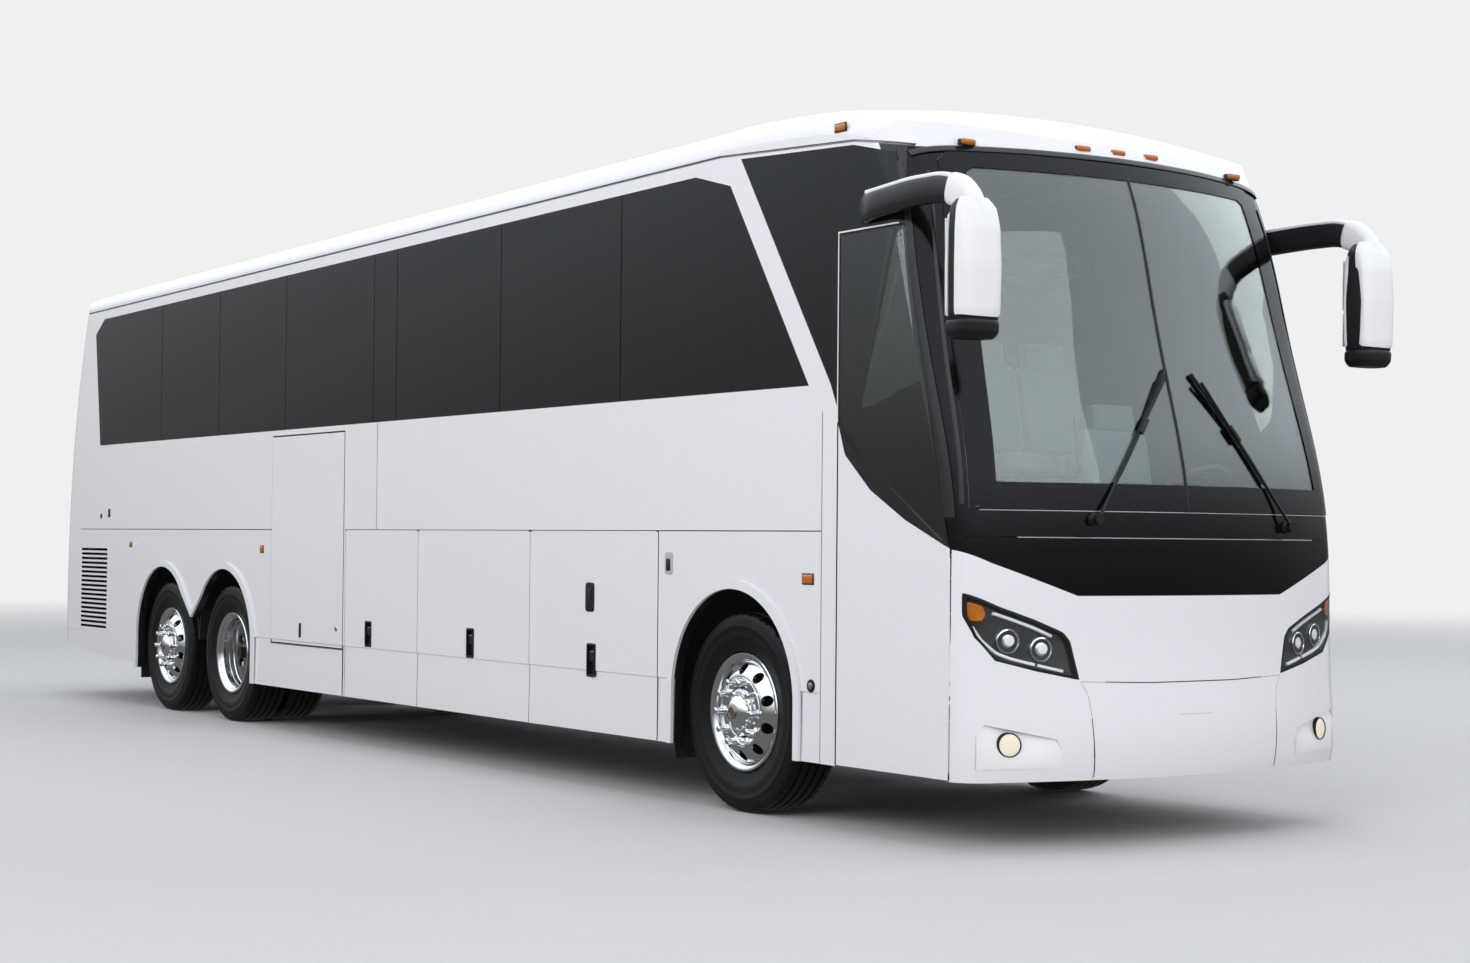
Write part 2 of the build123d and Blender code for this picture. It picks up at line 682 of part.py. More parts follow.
# Passenger floor, and the driver's floor in front of it
driver_edge_y = -100        # right edge of the driver's floor, next to the steps
deck = block(at(tail_floor_at), at(front_floor_at), -inside_y, inside_y, floor_z - sheet, floor_z)
driver_floor = block(at(front_floor_at), at(2040), driver_edge_y, inside_y, platform_z - sheet, platform_z) & inner
riser = block(at(front_floor_at) - sheet, at(front_floor_at), -inside_y, inside_y, platform_z - sheet, floor_z - sheet)
save("cabin_floor", deck + driver_floor + riser)

# Steps inside the entrance door. Columns: outer and inner edge, height.
step_rise = 180
Step = namedtuple("Step", "outer inner z")
step_rows = [
    Step(-inside_y, -960, bay_floor_z + sheet),
    Step(-960, -700, bay_floor_z + sheet + step_rise),
    Step(-700, -440, bay_floor_z + sheet + 2 * step_rise),
    Step(-440, driver_edge_y, platform_z),
]
riser_t = 20
panel_t = 15
step_x = (at(front_floor_at), at(door_front_at) - panel_t)
steps = Part()
for row in step_rows:
    steps += block(*step_x, row.outer, row.inner, row.z - sheet, row.z)
for row, higher in zip(step_rows[:-1], step_rows[1:]):
    steps += block(*step_x, row.inner - riser_t, row.inner, row.z - sheet, higher.z)
steps += block(step_x[0], step_x[0] + panel_t, -inside_y, driver_edge_y, bay_floor_z, floor_z)
steps -= block(step_x[0] - 5, step_x[0] + panel_t + 5, -rail_y[1] - seat_gap, -rail_y[0] + seat_gap,
               rail_z[0] - seat_gap, rail_z[1] + seat_gap)
save("entry_steps", steps)

# Engine between the rear rails
engine_z = (560, 1330)
save("engine_block", block(at(-10900), at(-9700), -rail_y[0], rail_y[0], *engine_z))

# Seats: the driver's, and rows of double seats on both sides of the aisle
seat_pitch = 830
seat_rows = 13
first_row_at = 250
driver_seat_at = 1180
row_y = (230, 1200)
# Side view of a seat from its own station and floor: foot, cushion with a round front edge, leaning back.
seat_outline = [(-180, 0), (120, 0), (120, 300), (240, 330), (240, 450), (-110, 430), (-250, 1130), (-360, 1120),
                (-240, 300), (-180, 300)]
seat_round = 35


def seat(x, y0, y1, floor):
    face = make_face(Polyline(*[(x + dx, 0, floor + dz) for dx, dz in seat_outline], close=True))
    soft = [v for v in face.vertices() if v.Z > floor + 320 and not x - 200 < v.X < x]
    face = fillet(soft, radius=seat_round)
    return Pos(0, min(y0, y1), 0) * extrude(face, amount=abs(y1 - y0), dir=(0, 1, 0))


seats = [seat(at(driver_seat_at), 380, 900, platform_z)]
for index in range(seat_rows):
    x = at(first_row_at - index * seat_pitch)
    seats += [seat(x, -row_y[1], -row_y[0], floor_z), seat(x, *row_y, floor_z)]
save("seats", *seats)

# Dashboard with the steering wheel
dash_outline = [(1800, platform_z), (1800, 1420), (2120, 1420), (2120, 1610), (1800, 1640), (1600, 1700),
                (1540, 1600), (1600, 1350), (1640, platform_z)]
dash = side_prism([(at(x), z) for x, z in dash_outline], -60, 1150) & inner
wheel_y = 640
wheel_centre = (at(1500), wheel_y, 1760)
column_foot = (at(1660), wheel_y, 1530)
wheel_tilt = 35
wheel_r = 225
grip_r = 18
spoke_w = 40
hand_wheel = Torus(wheel_r, grip_r) + Cylinder(60, 30)
for turn in (0, 90):
    hand_wheel += Rot(0, 0, turn) * Box(2 * wheel_r - 10, spoke_w, 16)
hand_wheel = Pos(*wheel_centre) * Rot(0, -wheel_tilt, 0) * hand_wheel
save("driver_console", dash + rod(column_foot, wheel_centre, 35) + hand_wheel)

# Front axle beam with kingpins, and the knuckles that turn on them
hub_z = tyre_r
eye_h = 110
eye_r = 55
ear_t = 50                  # forks of the knuckle above and below the eye
ear_gap = 5
spindle_r = 45
spindle_end = track_y + 70
bag_r = 80                  # air springs between the axles and the rails
bag_y = 345
beam_top_z = hub_z - 80
beam_foot_z = hub_z - 190


def at_kingpin(side, solid):
    return Pos(at(0), side * kingpin_y, hub_z) * solid


def air_spring(centre_at, side, foot_z):
    height = rail_z[0] - foot_z
    return Pos(at(centre_at), side * bag_y, foot_z + height / 2) * Cylinder(bag_r, height)


beam = block(at(0) - 55, at(0) + 55, -600, 600, beam_foot_z, beam_top_z)
for side in (-1, 1):
    beam += block(at(0) - 50, at(0) + 50, side * 560, side * 820, beam_foot_z, hub_z + 50)
    beam += block(at(0) - 45, at(0) + 45, side * 800, side * (kingpin_y - 20), hub_z - 50, hub_z + 50)
    beam += at_kingpin(side, Cylinder(eye_r, eye_h))
    beam -= at_kingpin(side, Cylinder(kingpin_r + running, 2 * eye_h))
    beam += air_spring(0, side, beam_top_z)
save("front_axle", beam)
for node, side in (("right", -1), ("left", 1)):
    y = side * kingpin_y
    knuckle = at_kingpin(side, Cylinder(kingpin_r, 2 * eye_h))
    ear_z = eye_h / 2 + ear_gap + ear_t / 2
    for z in (hub_z - ear_z, hub_z + ear_z):
        knuckle += Pos(at(0), y, z) * Cylinder(50, ear_t)
        knuckle += block(at(0) - 45, at(0) + 45, y, y + side * 80, z - ear_t / 2, z + ear_t / 2)
    knuckle += block(at(0) - 60, at(0) + 60, y + side * 66, y + side * 96, hub_z - eye_h, hub_z + eye_h)
    knuckle += rod((at(0), y + side * 70, hub_z), (at(0), side * spindle_end, hub_z), spindle_r)
    save(f"knuckle_{node}", knuckle)

# Rear axles: the driven one with its differential, and the plain tag axle.
# Columns: station, end of the thick tube, its radius.
AxleTube = namedtuple("AxleTube", "x end radius")
differential_r = 190
axle_rows = [AxleTube(-wheelbase, 560, 75), AxleTube(tag_at, 760, 60)]
axles = []
for row in axle_rows:
    axle = rod((at(row.x), -row.end, hub_z), (at(row.x), row.end, hub_z), row.radius)
    axle += rod((at(row.x), -spindle_end, hub_z), (at(row.x), spindle_end, hub_z), spindle_r)
    for side in (-1, 1):
        axle += air_spring(row.x, side, hub_z)
    axles.append(axle)
axles[0] += Pos(at(-wheelbase), 0, hub_z) * Sphere(differential_r)
save("rear_axles", *axles)

# Wheels. The tyre's half section as (radius, share of the width from the middle)
tyre_profile = [(rim_seat_r + seat_gap, 0.395), (flange_r + 2, 0.395), (400, 0.50), (500, 0.49), (530, 0.46),
                (tyre_r, 0.38)]
rim_edge = 0.40 * tyre_w
hand_holes = 10
hand_hole_r = 24
hand_ring_r = 230
hub_bore_r = spindle_r + running
hub_cap_t = 18
disc_t = 22
front_disc_at = 110         # place of the disc from the middle of the wheel, outwards
drive_disc_at = -60
barrel_section = [
    (-rim_edge - 12, flange_r), (-rim_edge, flange_r), (-rim_edge, rim_seat_r), (rim_edge, rim_seat_r),
    (rim_edge, flange_r), (rim_edge + 12, flange_r), (rim_edge + 12, rim_seat_r - 8),
    (rim_edge - 20, rim_seat_r - 18), (-rim_edge + 20, rim_seat_r - 18), (-rim_edge - 12, rim_seat_r - 8),
]


def around(centre_at, y, solid):
    return Pos(at(centre_at), y, hub_z) * solid


def spun(points, outward):
    """Solid of revolution about the wheel's axis from (distance along the axis, radius) points."""
    face = make_face(Polyline(*[(0, outward * a, r) for a, r in points], close=True))
    return revolve(face, axis=Axis.Y)


def tyre(y, centre_at):
    half = [(tyre_w * share, r) for r, share in tyre_profile]
    return around(centre_at, y, spun(half + [(-a, r) for a, r in reversed(half)], 1))


def rim(side, y, centre_at, disc_out):
    """Rim with flanges, drop centre, a dished disc with hand holes, and the hub."""
    disc_r = rim_seat_r - 12
    disc = [
        (disc_out - disc_t, 60), (disc_out, 60), (disc_out, 165), (disc_out + 18, 185), (disc_out - 20, disc_r),
        (disc_out - 42, disc_r), (disc_out - 6, 180), (disc_out - disc_t, 165),
    ]
    wheel = spun(barrel_section, side) + spun(disc, side)
    for hole in PolarLocations(hand_ring_r, hand_holes):
        wheel -= Rot(90, 0, 0) * hole * Cylinder(hand_hole_r, 2 * tyre_w)
    hub_out = spindle_end - abs(y) + 12
    hub = [(disc_out - 150, hub_bore_r), (disc_out - 150, 95), (disc_out - 10, 95), (disc_out + 30, 80),
           (hub_out + hub_cap_t, 70), (hub_out + hub_cap_t, 0), (hub_out, 0), (hub_out, hub_bore_r)]
    return around(centre_at, y, wheel + spun(hub, side))


def twin_rims(side):
    """Two rims back to back on one hub."""
    outer_y = side * track_y
    inner_y = side * (track_y - twin_y)
    inner_disc = [(70, 90), (92, 90), (112, rim_seat_r - 12), (90, rim_seat_r - 12)]
    sleeve_end = twin_y - 100
    sleeve = [(-60, hub_bore_r), (-60, 95), (sleeve_end, 95), (sleeve_end, hub_bore_r)]
    inner_rim = spun(barrel_section, side) + spun(inner_disc, side) + spun(sleeve, side)
    return rim(side, outer_y, -wheelbase, drive_disc_at) + around(-wheelbase, inner_y, inner_rim)


for node, side in (("right", -1), ("left", 1)):
    y = side * track_y
    inner_y = side * (track_y - twin_y)
    save(f"front_tyre_{node}", tyre(y, 0))
    save(f"front_rim_{node}", rim(side, y, 0, front_disc_at))
    save(f"drive_tyres_{node}", tyre(y, -wheelbase), tyre(inner_y, -wheelbase))
    save(f"drive_rims_{node}", twin_rims(side))
    save(f"tag_tyre_{node}", tyre(y, tag_at))
    save(f"tag_rim_{node}", rim(side, y, tag_at, front_disc_at))

# Mirrors hang ahead of the front corners on arms that spring from over the doors.
# Stations of the arm's middle line: distance from the front axle, from the middle, height.
arm_path = [(1130, half_width - 30, 3165), (1260, 1352, 3172), (1650, 1385, 3180), (1960, 1388, 3168),
            (2085, 1388, 3110), (2115, 1388, 3000)]
arm_section = (26, 54)      # half thickness and half depth
# Sections of the mirror's head: height, middle's station, half length, half width.
HeadRow = namedtuple("HeadRow", "z x length width")
head_rows = [HeadRow(2440, 2105, 62, 98), HeadRow(2500, 2108, 74, 112), HeadRow(2780, 2112, 78, 116),
             HeadRow(3030, 2108, 66, 106), HeadRow(3100, 2096, 44, 80)]
head_y = 1385
head_corner = 38
mirrors = Part()
for side in (-1, 1):
    points = [(at(x), side * y, z) for x, y, z in arm_path]
    path = Spline(*points)
    start = Plane(origin=points[0], z_dir=path % 0, x_dir=(0, 0, 1))
    arm = sweep(start * Ellipse(arm_section[1], arm_section[0]), path=path)
    sections = [Pos(at(row.x), side * head_y, row.z) * RectangleRounded(2 * row.length, 2 * row.width, head_corner)
                for row in head_rows]
    mirrors += arm + loft(sections)
save("mirrors", *(mirrors - outer).solids())

# Wipers lie against the windshield. Columns: foot and tip, each as station, distance from the middle, height.
Wiper = namedtuple("Wiper", "foot tip")
wiper_rows = [Wiper((2140, -603, 1600), (2025, -54, 2320)), Wiper((2115, 770, 1575), (2025, 201, 2306))]
wiper_r = 9
pivot_r = 26
wipers = []
for row in wiper_rows:
    foot = (at(row.foot[0]), *row.foot[1:])
    tip = (at(row.tip[0]), *row.tip[1:])
    pivot = rod((foot[0] - 40, *foot[1:]), (foot[0] + 10, *foot[1:]), pivot_r)
    wipers += ((rod(foot, tip, wiper_r) + pivot) - outer).solids()
save("wipers", *wipers)

# Clearance lamps on the roof edge: station, distance from the middle, height. Along the sides: station,
# height, half length.
roof_lamps = [(1535, -936, 3490), (1620, -238, 3514), (1625, 0, 3514), (1620, 238, 3514), (1535, 936, 3490)]
side_lamps = [(951, 3605, 45), (697, 1283, 45), (-6523, 1381, 30), (-9447, 1398, 25)]
lamp_h = 44
lamp_proud = 12
markers = [block(at(x) - 20, at(x) + lamp_proud, y - 45, y + 45, z - 16, z + 16) for x, y, z in roof_lamps]
for side in (-1, 1):
    y0 = side * (half_width - 6)
    y1 = side * (half_width + lamp_proud)
    for x, z, half in side_lamps:
        markers.append(block(at(x) - half, at(x) + half, y0, y1, z - lamp_h / 2, z + lamp_h / 2))
save("marker_lamps", *[marker - outer for marker in markers])

# Handrail beside the steps
rail_at = (at(1060), -1100)
save("handrails", rod((*rail_at, bay_floor_z + sheet), (*rail_at, floor_z + 700), 18))
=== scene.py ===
import math

import bmesh
import bpy
import numpy as np
from mathutils import Matrix, Vector


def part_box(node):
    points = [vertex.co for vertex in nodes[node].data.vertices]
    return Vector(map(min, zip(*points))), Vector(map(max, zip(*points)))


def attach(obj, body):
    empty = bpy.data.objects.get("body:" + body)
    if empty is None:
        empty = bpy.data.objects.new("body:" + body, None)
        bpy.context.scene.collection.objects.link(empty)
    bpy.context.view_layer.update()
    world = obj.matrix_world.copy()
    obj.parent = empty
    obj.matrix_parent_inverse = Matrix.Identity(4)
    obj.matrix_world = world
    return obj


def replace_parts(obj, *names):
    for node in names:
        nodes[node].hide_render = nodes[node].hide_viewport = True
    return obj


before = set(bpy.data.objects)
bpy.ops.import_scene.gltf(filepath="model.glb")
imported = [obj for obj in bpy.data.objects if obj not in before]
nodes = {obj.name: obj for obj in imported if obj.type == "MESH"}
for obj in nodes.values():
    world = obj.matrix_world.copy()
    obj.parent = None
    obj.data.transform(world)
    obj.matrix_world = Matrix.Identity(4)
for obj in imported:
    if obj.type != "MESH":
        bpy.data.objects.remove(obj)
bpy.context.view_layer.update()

frontAxleX = sum(c.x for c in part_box("front_tyre_left")) / 2
halfWidth = 1.3
sides = ("left", "right")
sideSigns = ((-1, "right"), (1, "left"))
print("frame loaded with", len(nodes), "nodes, front axle at", round(frontAxleX, 3))


# Mesh building. A shape is a pair (points, quads): points (n, 3), quads (m, 4) of indices into them.

def gridShape(points, wrapU=False, wrapV=False):
    # quads between neighbours of a (u, v) grid of points; a wrapped direction joins its last row to its first
    nu, nv = points.shape[:2]
    index = np.arange(nu * nv).reshape(nu, nv)
    if wrapU:
        index = np.vstack([index, index[:1]])
    if wrapV:
        index = np.hstack([index, index[:, :1]])
    quads = np.stack([index[:-1, :-1], index[1:, :-1], index[1:, 1:], index[:-1, 1:]], axis=-1)
    return points.reshape(-1, 3), quads.reshape(-1, 4)


def joined(shapes):
    # one shape from several: the indices of each are moved past the points before it
    starts = np.cumsum([0] + [len(points) for points, quads in shapes[:-1]])
    return (np.vstack([points for points, quads in shapes]),
            np.vstack([quads + start for (points, quads), start in zip(shapes, starts)]))


def moved(shape, offset, turn=None):
    # every point turned by a matrix, then shifted
    points, quads = shape
    if turn is not None:
        points = points @ np.asarray(turn).T
    return points + np.asarray(offset), quads


def mirrored(shape):
    # the same shape on the other side of the vehicle: y changes sign
    points, quads = shape
    return points * np.array([1, -1, 1]), quads[:, ::-1]


def both(shape):
    return joined([shape, mirrored(shape)])


def lathe(profile, segments, axis="y"):
    # profile rows (along the axis, radius) turned round the axis: point = along * axis + radius * (cos t, sin t)
    turn = np.linspace(0, 2 * np.pi, segments, endpoint=False)
    along, radius = np.asarray(profile, float).T
    a = np.broadcast_to(along[:, None], (len(along), segments))
    c, s = radius[:, None] * np.cos(turn), radius[:, None] * np.sin(turn)
    order = {"x": (a, c, s), "y": (s, a, c)}[axis]
    return gridShape(np.stack(order, axis=-1), wrapV=True)


def unit(vectors):
    return vectors / (np.linalg.norm(vectors, axis=-1, keepdims=True) + 1e-12)


def smoothPath(points, count, rounds=0):
    # points spaced evenly along an open line, each then averaged with its neighbours to round the bends
    points = np.asarray(points, float)
    steps = np.concatenate([[0], np.cumsum(np.linalg.norm(np.diff(points, axis=0), axis=1))])
    along = np.linspace(0, steps[-1], count)
    line = np.stack([np.interp(along, steps, column) for column in points.T], axis=-1)
    for turn in range(rounds):
        line[1:-1] = (line[:-2] + 2 * line[1:-1] + line[2:]) / 4
    return line


def smoothLoop(points, count, rounds=0):
    # the same along a closed outline
    points = np.asarray(points, float)
    line = smoothPath(np.vstack([points, points[:1]]), count + 1)[:-1]
    for turn in range(rounds):
        line = (np.roll(line, 1, 0) + 2 * line + np.roll(line, -1, 0)) / 4
    return line


def shrunk(loop, distance):
    # each point of a flat outline moved inwards, square to the outline's run there
    along = unit(np.roll(loop, -1, 0) - np.roll(loop, 1, 0))
    x, y = loop.T
    turning = np.sign(np.sum(x * np.roll(y, -1) - np.roll(x, -1) * y))
    return loop + turning * distance * np.stack([-along[:, 1], along[:, 0]], axis=-1)


def plate(loop, layers, place):
    # the outline drawn in and lifted layer by layer (drawn in, height), closed to its middle at both ends
    middle = np.repeat(loop.mean(0)[None], len(loop), 0)
    rows = [place(middle, layers[0][1])]
    rows += [place(shrunk(loop, draw), height) for draw, height in layers]
    rows += [place(middle, layers[-1][1])]
    return gridShape(np.stack(rows), wrapV=True)


def rim(loop, layers, place):
    # a closed bead that runs round the outline, its section given as (drawn in, height)
    rows = [place(shrunk(loop, draw), height) for draw, height in layers]
    return gridShape(np.stack(rows), wrapU=True, wrapV=True)


def closedRows(points):
    # rings of points as a surface, its first and last ring closed to their middle
    ends = points.mean(axis=1, keepdims=True).repeat(points.shape[1], 1)
    return gridShape(np.concatenate([ends[:1], points, ends[-1:]]), wrapV=True)


def ribbon(path, section, place):
    # a section of (across, height) points carried along a line drawn on a surface, its ends closed to their middle
    section = np.asarray(section, float)
    along = unit(np.gradient(path, axis=0))
    across = np.stack([-along[:, 1], along[:, 0]], axis=-1)
    flat = path[:, None] + section[None, :, :1] * across[:, None]
    return closedRows(place(flat, np.broadcast_to(section[:, 1], flat.shape[:2])))


def squareSection(width, low, high, edge=0.001):
    # a flat bead's section with its two upper edges taken off
    half = width / 2
    return [(-half, low), (-half, high - edge), (-half + edge, high), (half - edge, high), (half, high - edge),
            (half, low)]


def bead(points, count, section, place, rounds=0):
    # a flat bead along a line of points: its section as width, foot, top and bevel
    return ribbon(smoothPath(points, count, rounds), squareSection(*section), place)


def sweep(path, radii, segments=16, squareness=2.0, across=None):
    # a closed section carried along a path: path point + cos^(2/k) * across * width + sin^(2/k) * up * height,
    # where across and up stand square to the path and k is the squareness; the ends are closed to a point
    path = np.asarray(path, float)
    radii = np.broadcast_to(np.asarray(radii, float), (len(path), 2))
    along = unit(np.gradient(path, axis=0))
    side = np.cross(along, [0.0, 0.0, 1.0]) if across is None else np.broadcast_to(across, path.shape)
    side = unit(side - np.sum(side * along, axis=1, keepdims=True) * along)
    up = np.cross(side, along)
    turn = np.linspace(0, 2 * np.pi, segments, endpoint=False)
    c, s = (np.sign(wave) * np.abs(wave) ** (2.0 / squareness) for wave in (np.cos(turn), np.sin(turn)))
    return closedRows(path[:, None] + radii[:, :1, None] * c[None, :, None] * side[:, None]
                      + radii[:, 1:, None] * s[None, :, None] * up[:, None])


def roundedBox(low, high, radius, steps=3):
    # a ball's points, each octant pushed out to a corner of the box: corner + radius * direction
    low, high = np.asarray(low, float), np.asarray(high, float)
    half = np.linspace(0, np.pi / 2, steps)
    turn = np.concatenate([half + k * np.pi / 2 for k in range(4)])
    tilt = np.concatenate([half - np.pi / 2, half])
    u, v = np.meshgrid(tilt, turn, indexing="ij")
    direction = np.stack([np.cos(u) * np.cos(v), np.cos(u) * np.sin(v), np.sin(u)], axis=-1)
    quarter = np.repeat(np.arange(4), steps)
    signs = np.array([[1, 1], [-1, 1], [-1, -1], [1, -1]])[quarter]
    side = np.concatenate([np.tile(signs[None], (2 * steps, 1, 1)),
                           np.repeat([-1, 1], steps)[:, None, None] * np.ones((1, len(turn), 1))], axis=-1)
    centre, reach = (low + high) / 2, (high - low) / 2 - radius
    return gridShape(centre + side * reach + radius * direction, wrapV=True)


# Material slot of each finish; one that isn't listed is black trim
slotOf = {"rubber": "tyre_rubber", "chassis": "chassis_black", "amber": "amber_lens", "shell": "body_paint",
          "fabric": "seat_fabric", "paleTrim": "handrail_steel",
          **dict.fromkeys(("strip", "projector", "warm"), "lamp_glass"),
          **dict.fromkeys(("alloy", "chrome", "steel", "iron", "bronze"), "wheel_metal")}
weldDistance = 1e-5


def piece(name, shape, finish, body="coach", slot=None, angle=35):
    # a finished object at the origin: doubles merged, faces turned outwards, soft edges below the angle
    mesh = bpy.data.meshes.new(name)
    mesh.from_pydata(shape[0].tolist(), [], shape[1].tolist())
    work = bmesh.new()
    work.from_mesh(mesh)
    bmesh.ops.remove_doubles(work, verts=work.verts, dist=weldDistance)
    bmesh.ops.dissolve_degenerate(work, edges=work.edges, dist=weldDistance / 10)
    bmesh.ops.recalc_face_normals(work, faces=work.faces)
    work.to_mesh(mesh)
    work.free()
    mesh.materials.append(finishes[finish])
    mesh.shade_smooth()
    mesh.set_sharp_from_angle(angle=math.radians(angle))
    thing = bpy.data.objects.new(name, mesh)
    bpy.context.scene.collection.objects.link(thing)
    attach(thing, body)
    slot or slotOf.get(finish, "black_trim")
    return thing


def sidePieces(stem, parts):
    # the left side's parts, then their mirror images, each its own piece; parts map a label to (shape, finish)
    made = {}
    for side in sides:
        for label, (shape, finish) in parts.items():
            shape = mirrored(shape) if side == "right" else shape
            made[f"{label}_{side}"] = piece(f"{stem}{label}_{side}", shape, finish)
    return made


# Nose surface. Rows of the body's plan outlines: height, bow, corner radius; and how far it reaches from the front
# axle, row by row along its curved profile

noseRows = np.array([
    [0.335, 0.230, 0.160], [0.600, 0.232, 0.160], [1.220, 0.215, 0.170], [1.620, 0.225, 0.180],
    [2.300, 0.245, 0.200], [3.020, 0.265, 0.220], [3.450, 0.275, 0.230], [3.900, 0.285, 0.230],
])
noseReach = np.array([
    [0.335, 2.1800], [0.380, 2.1909], [0.420, 2.1962], [0.480, 2.1992], [0.540, 2.1976], [0.600, 2.1929],
    [0.680, 2.1848], [0.760, 2.1768], [0.840, 2.1698], [0.920, 2.1648], [1.000, 2.1617], [1.100, 2.1601],
    [1.220, 2.1600], [1.300, 2.1597], [1.400, 2.1583], [1.470, 2.1560], [1.560, 2.1504], [1.660, 2.1403],
    [1.750, 2.1274], [1.900, 2.0983], [2.050, 2.0611], [2.200, 2.0190], [2.350, 1.9757], [2.500, 1.9338],
    [2.650, 1.8952], [2.800, 1.8599], [2.950, 1.8250], [3.100, 1.7864], [3.200, 1.7563], [3.300, 1.7205],
    [3.380, 1.6873], [3.450, 1.6550], [3.900, 1.4700],
])


def throughRows(z, rows, column):
    # cubic between the rows: Hermite curve with slopes from the neighbouring rows
    levels, values = rows[:, 0], rows[:, column]
    slopes = np.gradient(values, levels)
    k = np.clip(np.searchsorted(levels, z) - 1, 0, len(levels) - 2)
    step = levels[k + 1] - levels[k]
    t = (z - levels[k]) / step
    return ((2 * t**3 - 3 * t**2 + 1) * values[k] + (t**3 - 2 * t**2 + t) * step * slopes[k]
            + (3 * t**2 - 2 * t**3) * values[k + 1] + (t**3 - t**2) * step * slopes[k + 1])


def noseX(y, z, inset=0.0):
    # how far forward the nose reaches: a wide arc over the middle, and a fillet arc round each corner
    y, z = np.broadcast_arrays(np.abs(np.asarray(y, float)), np.asarray(z, float))
    half = halfWidth - inset
    reach, bow = throughRows(z, noseReach, 1) - inset, throughRows(z, noseRows, 1)
    corner = np.maximum(throughRows(z, noseRows, 2) - inset, 0.04)
    wide = (half**2 + bow**2) / (2 * bow)
    middle = reach - wide + np.sqrt(np.maximum(wide**2 - y**2, 0))
    centreX = reach - wide + np.sqrt(np.maximum((wide - corner)**2 - (half - corner)**2, 0))
    turnY = (half - corner) * wide / (wide - corner)
    edge = centreX + np.sqrt(np.maximum(corner**2 - (y - half + corner)**2, 0))
    return frontAxleX + np.where(y < turnY, middle, edge)


def onNose(points, height):
    # (distance from the middle, height above ground) points laid on the nose and lifted off it
    y, z = points[..., 0], points[..., 1]
    return np.stack([noseX(y, z, -np.asarray(height)), y, z], axis=-1)


def onSide(side):
    # (station from the front axle, height above ground) points laid on one flat side and lifted off it
    def place(points, height):
        y = side * (halfWidth + np.broadcast_to(height, points.shape[:-1]))
        return np.stack([frontAxleX + points[..., 0], y, points[..., 1]], axis=-1)
    return place


# Shader trees, and shared groups for surface effects that put out only colours and values

def feed(tree, socket, value):
    # a link from another socket, or a plain value; a colour of three numbers is opaque
    if hasattr(value, "is_output"):
        tree.links.new(value, socket)
    else:
        socket.default_value = (*value, 1) if socket.type == "RGBA" and len(value) == 3 else value


def add(tree, kind, inputs=None, **settings):
    # a node with its settings and its inputs, each input by its label or number
    node = tree.nodes.new(kind)
    for label, value in settings.items():
        setattr(node, label, value)
    for label, value in (inputs or {}).items():
        feed(tree, node.inputs[label], value)
    return node


def mixColour(tree, factor, first, second, kind="MIX"):
    inputs = {0: factor, 6: first, 7: second}
    return add(tree, "ShaderNodeMix", inputs, data_type="RGBA", blend_type=kind).outputs[2]


def mixShader(tree, factor, first, second):
    return add(tree, "ShaderNodeMixShader", {0: factor, 1: first, 2: second}).outputs[0]


def calc(tree, kind, first, second=0.5, clamp=False):
    return add(tree, "ShaderNodeMath", {0: first, 1: second}, operation=kind, use_clamp=clamp).outputs[0]


def noiseOf(tree, place, scale, detail):
    return add(tree, "ShaderNodeTexNoise", {"Vector": place, "Scale": scale, "Detail": detail}).outputs[0]


def placeOf(tree):
    return add(tree, "ShaderNodeTexCoord").outputs["Object"]


def axesOf(tree, vector):
    return add(tree, "ShaderNodeSeparateXYZ", {0: vector}).outputs


def bumped(tree, height, strength, distance):
    relief = add(tree, "ShaderNodeBump", {"Height": height, "Strength": strength, "Distance": distance})
    feed(tree, tree.nodes["Principled BSDF"].inputs["Normal"], relief.outputs[0])


def socketGroup(name, inputs, outputs):
    # a node group; an input is a colour where its value has parts, an output where it is called Colour
    group = bpy.data.node_groups.new(name, "ShaderNodeTree")
    for label, value in inputs.items():
        kind = "NodeSocketColor" if isinstance(value, tuple) else "NodeSocketFloat"
        group.interface.new_socket(label, in_out="INPUT", socket_type=kind).default_value = value
    for label in outputs:
        kind = "NodeSocketColor" if label == "Colour" else "NodeSocketFloat"
        group.interface.new_socket(label, in_out="OUTPUT", socket_type=kind)
    return group, group.nodes.new("NodeGroupInput").outputs, group.nodes.new("NodeGroupOutput").inputs


grimeSpec = {"fine": 16.0, "coarse": 1.7, "detail": 4.0, "fall": 1.6, "gain": 2.6, "overall": 0.05, "dulls": 0.45}


